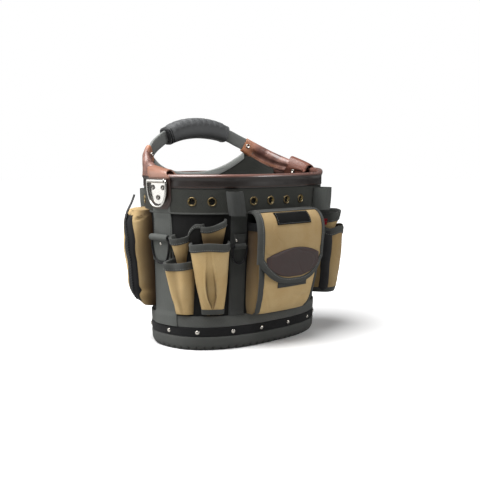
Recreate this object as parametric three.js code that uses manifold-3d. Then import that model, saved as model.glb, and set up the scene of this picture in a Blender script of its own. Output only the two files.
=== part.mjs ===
// Open-topped oval tool bag: rubber base, stiff cloth wall, leather rim, carry handle and outside pockets.
// Millimetres, +Z up. The origin is the middle of the base's underside, X is the long axis and -Y the front.
// A place on the wall is an arc length from the middle of the front, a height and a distance outwards.
import * as THREE from 'three';
import { mergeVertices } from 'three/addons/utils/BufferGeometryUtils.js';
import Module from 'manifold-3d';

const GAP = 0.3;                 // clearance between sewn pieces
const CLOTH = 2.5;               // wall and pocket cloth
const WEBBING = 2;
const LEATHER = 2;

// Oval wall: a superellipse that widens evenly from the base to the rim.
const PLAN_POWER = 2.4;
const LOW_PLAN = { z: 38, halfLength: 158, halfWidth: 99.5 };
const HIGH_PLAN = { z: 263, halfLength: 166, halfWidth: 116.5 };
const RING_STEPS = 48;

// Heights of what runs round the wall.
const FLOOR_TOP = 4;
const TUB_TOP = 22.9;
const BAND_TOP = 37.8;
const HEM_TOP = 57;
const GROMMET_LOW = 222;
const LEATHER_LOW = 263;
const WALL_TOP = 280;
const RIM_TOP = 283;
const EYELET_Z = 242.5;

const LEATHER_OUT = 3.3;         // outer face of the rim leather
const LIP_IN = 5;                // inner face of the rim leather
const BAND_OUT = 2.3;            // outer face of webbing sewn on the wall
const ON_BAND = BAND_OUT + GAP;  // where a piece sewn on that webbing begins
const POCKET_LOW = HEM_TOP + 0.5;
const WIDE_SEAM = 0.7;           // clearance of a wide pocket's seam, which crosses the wall's curve

// Arc lengths of the repeated fittings, front half; the back half mirrors them.
const LOOP_PLACE = 96;
const STRAP_PLACE = 90;
const EYELET_PLACES = [-164, -134, -66, -32, 4, 40, 134, 164];
const END_STRAP_WIDTH = 48;
const CORNER_STRAP_WIDTH = 28;

const TAN = '#a88b55';
const DARK_CLOTH = '#343434';
const GREY_WEBBING = '#626362';
const BROWN_LEATHER = '#5d3f36';
const STEEL = '#c8c6c2';
const BLACK_WIRE = '#26262a';

const wasm = await Module();
wasm.setup();

const bag = new THREE.Group();

// Plan of the wall and places on it.

function halfAxes(z) {
  const t = (z - LOW_PLAN.z) / (HIGH_PLAN.z - LOW_PLAN.z);
  return {
    a: THREE.MathUtils.lerp(LOW_PLAN.halfLength, HIGH_PLAN.halfLength, t),
    b: THREE.MathUtils.lerp(LOW_PLAN.halfWidth, HIGH_PLAN.halfWidth, t),
  };
}

function signedPower(value, power) {
  return Math.sign(value) * Math.abs(value) ** power;
}

function ovalPoint(angle, z, out) {
  const { a, b } = halfAxes(z);
  const x = a * signedPower(Math.cos(angle), 2 / PLAN_POWER);
  const y = b * signedPower(Math.sin(angle), 2 / PLAN_POWER);
  const normal = new THREE.Vector2(
    signedPower(x / a, PLAN_POWER - 1) / a,
    signedPower(y / b, PLAN_POWER - 1) / b,
  ).normalize();
  return new THREE.Vector3(x + normal.x * out, y + normal.y * out, z);
}

// Table of arc length against angle at half height, for turning lengths into angles.
const ARC_STEPS = 1440;
const ARC_HEIGHT = 150;
const arcTable = [0];
for (let i = 1; i <= ARC_STEPS; i += 1) {
  const before = ovalPoint((2 * Math.PI * (i - 1)) / ARC_STEPS, ARC_HEIGHT, 0);
  const after = ovalPoint((2 * Math.PI * i) / ARC_STEPS, ARC_HEIGHT, 0);
  arcTable.push(arcTable[i - 1] + before.distanceTo(after));
}
const PERIMETER = arcTable[ARC_STEPS];
const LEFT_END = -PERIMETER / 4;
const RIGHT_END = PERIMETER / 4;

function angleAt(arc) {
  const length = THREE.MathUtils.euclideanModulo(arc + 0.75 * PERIMETER, PERIMETER);
  let i = 1;
  while (arcTable[i] < length) i += 1;
  const t = (length - arcTable[i - 1]) / (arcTable[i] - arcTable[i - 1]);
  return (2 * Math.PI * (i - 1 + t)) / ARC_STEPS;
}

function wallPoint(arc, z, out) {
  return ovalPoint(angleAt(arc), z, out);
}

function mirrorToBack(arc) {
  return Math.sign(arc || 1) * PERIMETER / 2 - arc;
}

// Turn and place of a fitting on the wall: its X points outwards, Y up the wall and Z along it.
function wallMatrix(arc, z, out) {
  const level = wallPoint(arc, z, 1).sub(wallPoint(arc, z, 0));
  const along = level.cross(new THREE.Vector3(0, 0, 1)).normalize();
  const up = wallPoint(arc, z + 1, 0).sub(wallPoint(arc, z, 0)).projectOnPlane(along).normalize();
  const outwards = up.clone().cross(along);
  const matrix = new THREE.Matrix4().makeBasis(outwards, up, along);
  return matrix.setPosition(wallPoint(arc, z, 0).addScaledVector(outwards, out));
}

// Closed meshes from quads; pinched quads become triangles.

function solid(quads) {
  const corners = [];
  const same = (p, q) => p.distanceToSquared(q) < 1e-10;
  for (const [p, q, r, s] of quads) {
    for (const [a, b, c] of [[p, q, r], [p, r, s]]) {
      if (!same(a, b) && !same(b, c) && !same(c, a)) corners.push(a, b, c);
    }
  }
  let volume = 0;
  for (let i = 0; i < corners.length; i += 3) {
    volume += corners[i].dot(corners[i + 1].clone().cross(corners[i + 2]));
  }
  if (volume < 0) corners.reverse();
  const geometry = new THREE.BufferGeometry().setFromPoints(corners);
  return mergeVertices(geometry, 1e-4);
}

function strip(quads, first, second) {
  for (let i = 0; i + 1 < first.length; i += 1) {
    quads.push([first[i], first[i + 1], second[i + 1], second[i]]);
  }
}

function grid(quads, lines) {
  for (let i = 0; i + 1 < lines.length; i += 1) strip(quads, lines[i], lines[i + 1]);
}

// Profile of (a, b) points carried through the stations that place() gives.
function sweep(stations, profile, place, closed) {
  const rings = [];
  for (let i = 0; i < stations; i += 1) {
    const ring = profile.map(([a, b]) => place(i, a, b));
    rings.push([...ring, ring[0]]);
  }
  const quads = [];
  grid(quads, closed ? [...rings, rings[0]] : rings);
  if (!closed) {
    const flat = profile.map(([a, b]) => new THREE.Vector2(a, b));
    const anticlockwise = !THREE.ShapeUtils.isClockWise(flat);
    for (const [i, j, k] of THREE.ShapeUtils.triangulateShape(flat, [])) {
      const area = (flat[j].clone().sub(flat[i])).cross(flat[k].clone().sub(flat[i]));
      const [p, q, r] = (area > 0) === anticlockwise ? [i, j, k] : [i, k, j];
      const first = rings[0];
      const last = rings[stations - 1];
      quads.push([first[r], first[q], first[p], first[p]]);
      quads.push([last[p], last[q], last[r], last[r]]);
    }
  }
  return solid(quads);
}

// Hollow sleeve: outer and inner profiles with as many points each, open at both ends.
function tube(stations, outer, inner, place) {
  const ringOf = (profile, i) => {
    const ring = profile(i).map(([a, b]) => place(i, a, b));
    return [...ring, ring[0]];
  };
  const outerRings = [];
  const innerRings = [];
  for (let i = 0; i < stations; i += 1) {
    outerRings.push(ringOf(outer, i));
    innerRings.push(ringOf(inner, i));
  }
  const quads = [];
  grid(quads, outerRings);
  grid(quads, innerRings.map((ring) => [...ring].reverse()));
  strip(quads, innerRings[0], outerRings[0]);
  strip(quads, outerRings[stations - 1], innerRings[stations - 1]);
  return solid(quads);
}

// Thin curved sheet: place(u, v, face) with u and v from 0 to 1, face 0 inside and 1 outside.
function sheet(columns, rows, place) {
  const faceGrid = (face) => Array.from({ length: rows + 1 }, (_, j) => (
    Array.from({ length: columns + 1 }, (__, i) => place(i / columns, j / rows, face))
  ));
  const inner = faceGrid(0);
  const outer = faceGrid(1);
  const side = (lines, i) => lines.map((line) => line[i]);
  const quads = [];
  grid(quads, outer);
  grid(quads, inner.map((line) => [...line].reverse()));
  strip(quads, inner[0], outer[0]);
  strip(quads, outer[rows], inner[rows]);
  strip(quads, side(outer, 0), side(inner, 0));
  strip(quads, side(inner, columns), side(outer, columns));
  return solid(quads);
}

// Ring of constant section round the oval, profile given as (out, z).
function wallRing(profile) {
  return sweep(
    RING_STEPS,
    profile,
    (i, out, z) => ovalPoint((2 * Math.PI * i) / RING_STEPS, z, out),
    true,
  );
}

function skinRing(low, high, inside, outside) {
  return wallRing([[inside, low], [outside, low], [outside, high], [inside, high]]);
}

// Strip of webbing lying on the wall.
function wallStrip(middle, width, low, high, inside, thickness) {
  const columns = 4;
  return sheet(columns, 1, (u, v, face) => wallPoint(
    middle + (u - 0.5) * width,
    THREE.MathUtils.lerp(low, high, v),
    inside + face * thickness,
  ));
}

// Section of a pocket seen from above: 0 to 1 across, as a place along and a share of the depth.
function bulge(u, squareness) {
  const angle = Math.PI * u;
  return {
    along: -signedPower(Math.cos(angle), squareness),
    depth: Math.max(0, Math.sin(angle)) ** squareness,
  };
}

// Sewn pocket, open to the wall behind it. Rows of (z, half, depth) from the bottom up.
function pocket({ middle, rows, base, squareness, floor, roof = false, columns = 12 }) {
  const last = rows.length - 1;
  const outerLines = [];
  const innerLines = [];
  const place = (row, i, less, z) => {
    const { along, depth } = bulge(i / columns, squareness);
    return wallPoint(middle + along * (row.half - less), z, base + depth * (row.depth - less));
  };
  const count = [...Array(columns + 1).keys()];
  rows.forEach((row, j) => {
    let innerZ = row.z;
    if (floor && j === 0) innerZ += CLOTH;
    if (roof && j === last) innerZ -= CLOTH;
    outerLines.push(count.map((i) => place(row, i, 0, row.z)));
    innerLines.push(count.map((i) => place(row, i, CLOTH, innerZ)));
  });
  const quads = [];
  grid(quads, outerLines);
  grid(quads, innerLines.map((line) => [...line].reverse()));
  const side = (lines, i) => lines.map((line) => line[i]);
  strip(quads, side(outerLines, 0), side(innerLines, 0));
  strip(quads, side(innerLines, columns), side(outerLines, columns));
  const closeEnd = (j, z, innerZ, flip) => {
    const row = rows[j];
    const seam = (less, height) => count.map((i) => {
      const { along } = bulge(i / columns, squareness);
      return wallPoint(middle + along * (row.half - less), height, base);
    });
    const turned = (line) => (flip ? [...line].reverse() : line);
    const outerSeam = turned(seam(0, z));
    const innerSeam = turned(seam(CLOTH, innerZ));
    strip(quads, outerSeam, turned(outerLines[j]));
    strip(quads, turned(innerLines[j]), innerSeam);
    strip(quads, innerSeam, outerSeam);
  };
  if (floor) closeEnd(0, rows[0].z, rows[0].z + CLOTH, false);
  else strip(quads, innerLines[0], outerLines[0]);
  if (roof) closeEnd(last, rows[last].z, rows[last].z - CLOTH, true);
  else strip(quads, outerLines[last], innerLines[last]);
  return solid(quads);
}

function roundedBox(halfA, halfB, radius, perCorner) {
  const points = [];
  const centres = [[1, 1], [-1, 1], [-1, -1], [1, -1]];
  centres.forEach(([signA, signB], corner) => {
    for (let i = 0; i < perCorner; i += 1) {
      const angle = (Math.PI / 2) * (corner + i / (perCorner - 1));
      points.push([
        signA * (halfA - radius) + radius * Math.cos(angle),
        signB * (halfB - radius) + radius * Math.sin(angle),
      ]);
    }
  });
  return points;
}

// Stations on a curve with a level side axis and an upright axis square to the path.
function pathFrames(curve, stations) {
  return Array.from({ length: stations }, (_, i) => {
    const t = i / (stations - 1);
    const along = curve.getTangent(t);
    const side = new THREE.Vector3(along.y, -along.x, 0).normalize();
    const up = side.clone().cross(along).normalize();
    return { t, origin: curve.getPoint(t), side, up };
  });
}

function onFrame(frame, a, b) {
  return frame.origin.clone().addScaledVector(frame.side, a).addScaledVector(frame.up, b);
}

function toManifold(geometry) {
  const bare = geometry.clone();
  bare.deleteAttribute('normal');
  bare.deleteAttribute('uv');
  const merged = mergeVertices(bare, 1e-4);
  return new wasm.Manifold(new wasm.Mesh({
    numProp: 3,
    vertProperties: new Float32Array(merged.attributes.position.array),
    triVerts: new Uint32Array(merged.index.array),
  }));
}

function fromManifold(body) {
  const { vertProperties, triVerts } = body.getMesh();
  const geometry = new THREE.BufferGeometry();
  geometry.setAttribute('position', new THREE.BufferAttribute(new Float32Array(vertProperties), 3));
  geometry.setIndex(new THREE.BufferAttribute(new Uint32Array(triVerts), 1));
  return geometry;
}

function add(name, geometry, color, roughness, metalness = 0, parent = bag) {
  const mesh = new THREE.Mesh(geometry, new THREE.MeshStandardMaterial({ color, roughness, metalness }));
  mesh.name = name;
  parent.add(mesh);
  return mesh;
}

// Base: a shallow rubber tub, the riveted black band above it and the grey hem.
const TUB_RINGS = [
  { z: 0, out: -3.5 },
  { z: 2, out: 0.6 },
  { z: 8, out: 3 },
  { z: TUB_TOP, out: 3.3 },
  { z: TUB_TOP, out: GAP },
  { z: FLOOR_TOP, out: GAP },
];

function tub() {
  const rings = TUB_RINGS.map(({ z, out }) => {
    const ring = Array.from({ length: RING_STEPS }, (_, i) => (
      ovalPoint((2 * Math.PI * i) / RING_STEPS, z, out)
    ));
    return [...ring, ring[0]];
  });
  const quads = [];
  grid(quads, rings);
  const bottom = new THREE.Vector3(0, 0, 0);
  const floor = new THREE.Vector3(0, 0, FLOOR_TOP);
  strip(quads, rings[0].map(() => bottom), rings[0]);
  strip(quads, rings[rings.length - 1], rings[0].map(() => floor));
  return solid(quads);
}

add('base_tub', tub(), '#5f605f', 0.75);
add('base_band', skinRing(TUB_TOP + GAP, BAND_TOP, GAP, 3), '#1e1e1e', 0.6);
add('hem_band', skinRing(BAND_TOP + GAP, HEM_TOP, GAP, BAND_OUT), GREY_WEBBING, 0.9);

// Wall, with the webbing band that carries the eyelets and the leather folded over the rim.
add('body_wall', skinRing(FLOOR_TOP + GAP, WALL_TOP, -CLOTH, 0), DARK_CLOTH, 0.9);

const EYELET = { hole: 4.7, bore: 4.4, rim: 7, rise: 1.5, sides: 8 };
const eyeletArcs = [...EYELET_PLACES, ...EYELET_PLACES.map(mirrorToBack)];

function grommetBand() {
  let band = toManifold(skinRing(GROMMET_LOW, LEATHER_LOW - GAP, GAP, BAND_OUT));
  for (const arc of eyeletArcs) {
    const hole = new THREE.CylinderGeometry(EYELET.hole, EYELET.hole, 12, EYELET.sides);
    hole.rotateZ(-Math.PI / 2).applyMatrix4(wallMatrix(arc, EYELET_Z, 0));
    band = band.subtract(toManifold(hole));
  }
  return fromManifold(band);
}

add('grommet_band', grommetBand(), '#2c2d2e', 0.85);

const eyeletProfile = [
  [EYELET.bore, 0],
  [EYELET.rim, 0],
  [EYELET.rim - 0.8, EYELET.rise],
  [EYELET.bore + 0.2, EYELET.rise * 0.8],
  [EYELET.bore, 0],
].map(([radius, height]) => new THREE.Vector2(radius, height));

eyeletArcs.forEach((arc, i) => {
  const ring = new THREE.LatheGeometry(eyeletProfile, EYELET.sides).rotateZ(-Math.PI / 2);
  const eyelet = add(`eyelet_${String(i + 1).padStart(2, '0')}`, ring, '#8b7550', 0.4, 1);
  eyelet.applyMatrix4(wallMatrix(arc, EYELET_Z, ON_BAND));
});

add('rim_binding', wallRing([
  [GAP, LEATHER_LOW],
  [LEATHER_OUT, LEATHER_LOW],
  [LEATHER_OUT, RIM_TOP - 3],
  [1, RIM_TOP],
  [-CLOTH - 0.5, RIM_TOP],
  [-LIP_IN, RIM_TOP - 2.5],
  [-LIP_IN, LEATHER_LOW + 3],
  [-CLOTH - GAP, LEATHER_LOW + 3],
  [-CLOTH - GAP, WALL_TOP + GAP],
  [GAP, WALL_TOP + GAP],
]), BROWN_LEATHER, 0.5);

// Upright webbing straps at the two ends and below the four tool loops.
const ends = [['left', LEFT_END], ['right', RIGHT_END]];
const corners = [
  ['front_left', -1, false],
  ['front_right', 1, false],
  ['back_left', -1, true],
  ['back_right', 1, true],
];
for (const [side, arc] of ends) {
  const geometry = wallStrip(arc, END_STRAP_WIDTH, POCKET_LOW, GROMMET_LOW - GAP, GAP, WEBBING);
  add(`end_strap_${side}`, geometry, GREY_WEBBING, 0.9);
}

const LOOP = { half: 15, depth: 26, low: 218.5, high: 256.5 };
for (const [side, sign, behind] of corners) {
  const strapArc = behind ? mirrorToBack(sign * STRAP_PLACE) : sign * STRAP_PLACE;
  const loopArc = behind ? mirrorToBack(sign * LOOP_PLACE) : sign * LOOP_PLACE;
  const strap = wallStrip(strapArc, CORNER_STRAP_WIDTH, POCKET_LOW, GROMMET_LOW - GAP, GAP, WEBBING);
  add(`corner_strap_${side}`, strap, '#3f4041', 0.9);
  add(`tool_loop_${side}`, pocket({
    middle: loopArc,
    base: ON_BAND,
    squareness: 0.6,
    floor: false,
    rows: [LOOP.low, LOOP.high].map((z) => ({ z, half: LOOP.half, depth: LOOP.depth })),
    columns: 8,
  }), '#4b4c4d', 0.9);
}

// Leather tab at each end: up the outside, over the foot of the handle sleeve and down inside the rim.
const TAB_WIDTH = 50;
const TAB_PATH = [
  { out: 4.6, z: 228 },
  { out: 4.6, z: 270 },
  { out: 4.6, z: 292 },
  { out: 1.5, z: 300 },
  { out: -7, z: 303.5 },
  { out: -15, z: 300 },
  { out: -17.5, z: 292 },
  { out: -17.5, z: 283 },
  { out: -7, z: 272 },
  { out: -6.6, z: 245 },
];

function leatherTab(arc) {
  const last = TAB_PATH.length - 1;
  const path = TAB_PATH.map(({ out, z }) => new THREE.Vector2(out, z));
  const normalAt = (j) => {
    const step = path[Math.min(j + 1, last)].clone().sub(path[Math.max(j - 1, 0)]).normalize();
    return new THREE.Vector2(step.y, -step.x);
  };
  const columns = 6;
  return sheet(columns, last, (u, v, face) => {
    const j = Math.round(v * last);
    const point = path[j].clone().addScaledVector(normalAt(j), (face - 0.5) * LEATHER);
    return wallPoint(arc + (u - 0.5) * TAB_WIDTH, point.y, point.x);
  });
}

for (const [side, arc] of ends) add(`leather_tab_${side}`, leatherTab(arc), '#8a5a45', 0.5);

// Wire ring with a straight bar on top, hanging in the plane of the bar: along, down.
function wireRing(width, drop, wire, sides, arcSteps) {
  const half = width / 2 - wire;
  const points = [];
  for (let i = 0; i <= arcSteps; i += 1) {
    const angle = (Math.PI * i) / arcSteps;
    const along = half * signedPower(Math.cos(angle), 0.75);
    points.push(new THREE.Vector2(along, -(drop - wire) * Math.sin(angle) ** 0.85));
  }
  const circle = Array.from({ length: sides }, (_, i) => {
    const angle = (2 * Math.PI * i) / sides;
    return [wire * Math.cos(angle), wire * Math.sin(angle)];
  });
  const count = points.length;
  const place = (i, a, b) => {
    const before = points[(i + count - 1) % count];
    const after = points[(i + 1) % count];
    const into = points[i].clone().sub(before).normalize();
    const outOf = after.clone().sub(points[i]).normalize();
    const mitre = into.clone().add(outOf).normalize();
    const across = new THREE.Vector2(-mitre.y, mitre.x);
    const stretch = Math.min(1.6, 1 / Math.max(0.5, mitre.dot(into)));
    const point = points[i].clone().addScaledVector(across, a * stretch);
    return new THREE.Vector3(b, point.y, point.x);
  };
  return sweep(count, circle, place, true);
}

// Steel fitting at each end: a tapered plate with a rolled barrel on top, and the ring that hangs in it.
const PLATE = { z: 275, seat: 5.9, thick: 2, width: 42, barrel: 3.6, bore: 2.2 };
const PLATE_TAPER = { shoulder: -14, waist: -26, toe: -35, toeHalf: 10, low: -40 };
const STEEL_RING = { width: 52, drop: 46, wire: 1.7 };
const BARREL_OUT = PLATE.seat + PLATE.thick + PLATE.barrel - 1;

function ringPlate() {
  const half = PLATE.width / 2;
  const shape = new THREE.Shape();
  shape.moveTo(-half, 0);
  const { shoulder, waist, toe, toeHalf, low } = PLATE_TAPER;
  shape.lineTo(-half, shoulder);
  shape.quadraticCurveTo(-half, waist, -toeHalf, toe);
  shape.quadraticCurveTo(0, low, toeHalf, toe);
  shape.quadraticCurveTo(half, waist, half, shoulder);
  shape.lineTo(half, 0);
  shape.closePath();
  const sheetMetal = { depth: PLATE.thick, bevelEnabled: false, curveSegments: 5 };
  const plate = new THREE.ExtrudeGeometry(shape, sheetMetal);
  plate.rotateY(Math.PI / 2);
  plate.translate(PLATE.seat, 0, 0);
  const rolled = (radius, length) => {
    const cylinder = new THREE.CylinderGeometry(radius, radius, length, 16);
    cylinder.rotateX(Math.PI / 2);
    cylinder.translate(BARREL_OUT, 0, 0);
    return toManifold(cylinder);
  };
  const body = toManifold(plate).add(rolled(PLATE.barrel, PLATE.width));
  return fromManifold(body.subtract(rolled(PLATE.bore, PLATE.width + 2)));
}

for (const [side, arc] of ends) {
  const fitting = new THREE.Group();
  fitting.applyMatrix4(wallMatrix(arc, PLATE.z, 0));
  bag.add(fitting);
  add(`ring_plate_${side}`, ringPlate(), STEEL, 0.25, 1, fitting);
  const ring = wireRing(STEEL_RING.width, STEEL_RING.drop, STEEL_RING.wire, 6, 16);
  ring.translate(BARREL_OUT, 0, 0);
  add(`steel_ring_${side}`, ring, STEEL, 0.2, 1, fitting);
}

// Black rings, each on a folded webbing tab with an eye for the ring's bar.
const EYE = { radius: 4.2, bore: 2.2, tail: 20, thick: 2.6, shut: 1 };
const BLACK_RINGS = [
  { name: 'left', arc: LEFT_END, z: 183, width: 46, drop: 44, tab: 39 },
  { name: 'front', arc: -STRAP_PLACE, z: 171, width: 29, drop: 30, tab: 19 },
];
const BLACK_WIRE_RADIUS = 1.6;

function ringTab(width) {
  const shape = new THREE.Shape();
  shape.moveTo(0, EYE.tail);
  shape.lineTo(0, 0);
  shape.absarc(EYE.radius, 0, EYE.radius, Math.PI, 2 * Math.PI + EYE.shut, false);
  shape.lineTo(EYE.thick, EYE.radius + 1);
  shape.lineTo(EYE.thick, EYE.tail);
  shape.closePath();
  const bore = new THREE.Path();
  bore.absarc(EYE.radius, 0, EYE.bore, 0, 2 * Math.PI, true);
  shape.holes.push(bore);
  const tab = new THREE.ExtrudeGeometry(shape, { depth: width, bevelEnabled: false, curveSegments: 8 });
  tab.translate(ON_BAND, 0, -width / 2);
  return tab;
}

for (const { name, arc, z, width, drop, tab } of BLACK_RINGS) {
  const fitting = new THREE.Group();
  fitting.applyMatrix4(wallMatrix(arc, z, 0));
  bag.add(fitting);
  add(`ring_tab_${name}`, ringTab(tab), '#303132', 0.9, 0, fitting);
  const ring = wireRing(width, drop, BLACK_WIRE_RADIUS, 6, 14);
  ring.translate(ON_BAND + EYE.radius, 0, 0);
  add(`black_ring_${name}`, ring, BLACK_WIRE, 0.4, 0.6, fitting);
}

// Handle: webbing through a moulded grip, leather sleeves down to the ends, and the scooped cloth panel.
const STRAP_ROUTE = [
  { x: 127, y: 77.5, z: 322 },
  { x: 111, y: 86, z: 333 },
  { x: 93, y: 91.5, z: 342 },
  { x: 75, y: 95, z: 350 },
  { x: 40, y: 97, z: 359.5 },
  { x: 0, y: 97.5, z: 363 },
];
const SLEEVE_ROUTE = [
  { x: 160, y: 0, z: 290, tall: 12 },
  { x: 157, y: 30, z: 293.5, tall: 16 },
  { x: 148, y: 56, z: 304, tall: 25 },
  { x: 132, y: 75, z: 318, tall: 29 },
  { x: 111, y: 86, z: 333, tall: 31 },
];
const STRAP_SECTION = { thick: 5, tall: 22 };
const GRIP_SECTION = { thick: 29, midTall: 36, endTall: 29, reach: 77 };
const SLEEVE_THICK = 11;

const halfRoute = STRAP_ROUTE.map(({ x, y, z }) => new THREE.Vector3(x, y, z));
const otherHalf = halfRoute.slice(0, -1).reverse().map(({ x, y, z }) => new THREE.Vector3(-x, y, z));
const strapCurve = new THREE.CatmullRomCurve3([...halfRoute, ...otherHalf]);

const strapFrames = pathFrames(strapCurve, 21);
const strapProfile = roundedBox(STRAP_SECTION.thick / 2, STRAP_SECTION.tall / 2, 0.8, 2);
add('handle_strap', sweep(
  strapFrames.length,
  strapProfile,
  (i, a, b) => onFrame(strapFrames[i], a, b),
  false,
), '#4d4e4f', 0.9);

const allFrames = pathFrames(strapCurve, 25);
const gripFrames = allFrames.filter(({ origin }) => Math.abs(origin.x) < GRIP_SECTION.reach);
const gripTall = (i) => {
  const share = Math.abs(gripFrames[i].origin.x) / GRIP_SECTION.reach;
  return THREE.MathUtils.lerp(GRIP_SECTION.midTall, GRIP_SECTION.endTall, share ** 2);
};
add('handle_grip', tube(
  gripFrames.length,
  (i) => roundedBox(GRIP_SECTION.thick / 2, gripTall(i) / 2, 13.5, 3),
  () => roundedBox(STRAP_SECTION.thick / 2 + 0.6, STRAP_SECTION.tall / 2 + 0.6, 0.6, 3),
  (i, a, b) => onFrame(gripFrames[i], a, b),
), '#2b2c2e', 0.6);

for (const [side, sign] of [['left', -1], ['right', 1]]) {
  const points = SLEEVE_ROUTE.map(({ x, y, z }) => new THREE.Vector3(sign * x, y, z));
  const frames = pathFrames(new THREE.CatmullRomCurve3(points), 8);
  const tallAt = (i) => {
    const place = frames[i].t * (SLEEVE_ROUTE.length - 1);
    const low = Math.min(Math.floor(place), SLEEVE_ROUTE.length - 2);
    return THREE.MathUtils.lerp(SLEEVE_ROUTE[low].tall, SLEEVE_ROUTE[low + 1].tall, place - low);
  };
  add(`handle_sleeve_${side}`, tube(
    frames.length,
    (i) => roundedBox(SLEEVE_THICK / 2, tallAt(i) / 2, 4.5, 3),
    (i) => roundedBox(SLEEVE_THICK / 2 - LEATHER, tallAt(i) / 2 - LEATHER, 1.5, 3),
    (i, a, b) => onFrame(frames[i], a, b),
  ), '#7a4a3a', 0.45);
}

// Cloth panel inside the back wall, from below the rim up to the sleeves, scooped between them.
const PANEL = { low: 170, reach: 147, lean: 0.03, outside: -7.7, columns: 28 };
const SCOOP = { low: 284, rise: 30, reach: 105, power: 2.45 };
const UNDER_SLEEVE = [
  { x: SCOOP.reach, z: 311.5 },
  { x: 111, z: 311.5 },
  { x: 132, z: 299 },
  { x: 147, z: 288 },
];

function scoopTop(x) {
  return SCOOP.low + SCOOP.rise * (Math.abs(x) / SCOOP.reach) ** SCOOP.power;
}

function panelTop(x) {
  const reach = Math.abs(x);
  if (reach <= SCOOP.reach) return Math.min(scoopTop(x) - 2.5, UNDER_SLEEVE[0].z);
  let i = 1;
  while (i < UNDER_SLEEVE.length - 1 && UNDER_SLEEVE[i].x < reach) i += 1;
  const { x: x0, z: z0 } = UNDER_SLEEVE[i - 1];
  const { x: x1, z: z1 } = UNDER_SLEEVE[i];
  return THREE.MathUtils.mapLinear(Math.min(reach, x1), x0, x1, z0, z1);
}

function panelPoint(arc, z, inwards) {
  return wallPoint(arc, z, PANEL.outside - inwards - PANEL.lean * (z - RIM_TOP));
}

// Arc length on the back half whose panel face lies at x.
function backArc(x) {
  let low = RIGHT_END;
  let high = PERIMETER - RIGHT_END;
  for (let i = 0; i < 40; i += 1) {
    const middle = (low + high) / 2;
    if (panelPoint(middle, RIM_TOP, 0).x > x) low = middle;
    else high = middle;
  }
  return low;
}

add('handle_panel', sheet(PANEL.columns, 2, (u, v, face) => {
  const x = THREE.MathUtils.lerp(PANEL.reach, -PANEL.reach, u);
  const z = THREE.MathUtils.lerp(PANEL.low, panelTop(x), v);
  return panelPoint(backArc(x), z, (1 - face) * CLOTH);
}), '#2a2a2b', 0.9);

const BINDING = { tall: 8, thick: 1.4 };
const bindingStations = Math.round((PANEL.columns * SCOOP.reach) / PANEL.reach) + 1;
add('panel_binding', sweep(bindingStations, [
  [-BINDING.thick - GAP, -BINDING.tall],
  [-GAP, -BINDING.tall],
  [-GAP, GAP],
  [CLOTH + GAP, GAP],
  [CLOTH + GAP, -BINDING.tall],
  [CLOTH + GAP + BINDING.thick, -BINDING.tall],
  [CLOTH + GAP + BINDING.thick, 1],
  [CLOTH / 2, GAP + BINDING.thick],
  [-BINDING.thick - GAP, 1],
], (i, inwards, rise) => {
  const x = THREE.MathUtils.lerp(SCOOP.reach, -SCOOP.reach, i / (bindingStations - 1));
  return panelPoint(backArc(x), panelTop(x) + rise, inwards);
}, false), '#6a6b6a', 0.9);

// Flap pouch on the front.
const POUCH = { middle: -6, base: WIDE_SEAM, squareness: 0.36 };
const POUCH_ROWS = [
  { z: POCKET_LOW, half: 58, depth: 17 },
  { z: 75, half: 65, depth: 28 },
  { z: 120, half: 67, depth: 36 },
  { z: 208, half: 67, depth: 36 },
];
add('pouch_body', pocket({ ...POUCH, rows: POUCH_ROWS, floor: true, columns: 16 }), TAN, 0.95);

const FLAP = { half: 67, thick: 2.5, low: 107, rise: 42, power: 2.2, front: 39.5, fall: 0.07 };
const FLAP_OVER = [
  { out: 3, z: 226 },
  { out: 16, z: 227 },
  { out: 29, z: 222 },
  { out: 37, z: 213 },
  { out: FLAP.front, z: 200 },
];
const FLAP_FRONT_ROWS = 5;

function flapEdge(u) {
  return FLAP.low + FLAP.rise * Math.abs(u) ** FLAP.power;
}

// Point on the flap's outer face pushed out by a distance: u from -1 to 1, and a height on its front.
function flapFront(u, z, more) {
  const out = (FLAP.front + FLAP.thick) * (1 - FLAP.fall * u ** 4);
  return wallPoint(POUCH.middle + u * FLAP.half, z, out + more);
}

const flapRows = FLAP_OVER.length - 1 + FLAP_FRONT_ROWS;
add('pouch_flap', sheet(12, flapRows, (across, v, face) => {
  const u = 2 * across - 1;
  const j = Math.round(v * flapRows);
  if (j >= FLAP_OVER.length) {
    const share = (j - FLAP_OVER.length + 1) / FLAP_FRONT_ROWS;
    const z = THREE.MathUtils.lerp(FLAP_OVER[FLAP_OVER.length - 1].z, flapEdge(u), share);
    return flapFront(u, z, (face - 1) * FLAP.thick);
  }
  const { out, z } = FLAP_OVER[j];
  const before = FLAP_OVER[Math.max(0, j - 1)];
  const after = FLAP_OVER[Math.min(FLAP_OVER.length - 1, j + 1)];
  const slope = new THREE.Vector2(after.out - before.out, after.z - before.z).normalize();
  const outer = out - slope.y * face * FLAP.thick;
  const height = z + slope.x * face * FLAP.thick;
  return wallPoint(POUCH.middle + u * FLAP.half, height, outer * (1 - FLAP.fall * u ** 4));
}), TAN, 0.95);

const PATCH = { reach: 0.84, top: 166, fall: 14, border: 11 };
add('flap_patch', sheet(10, 2, (across, v, face) => {
  const u = (2 * across - 1) * PATCH.reach;
  const top = PATCH.top - PATCH.fall * (u / PATCH.reach) ** 2;
  const low = Math.min(flapEdge(u) + PATCH.border, top - 3);
  return flapFront(u, THREE.MathUtils.lerp(low, top, v), GAP + face * LEATHER);
}), '#3b2d2c', 0.45);

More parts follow.
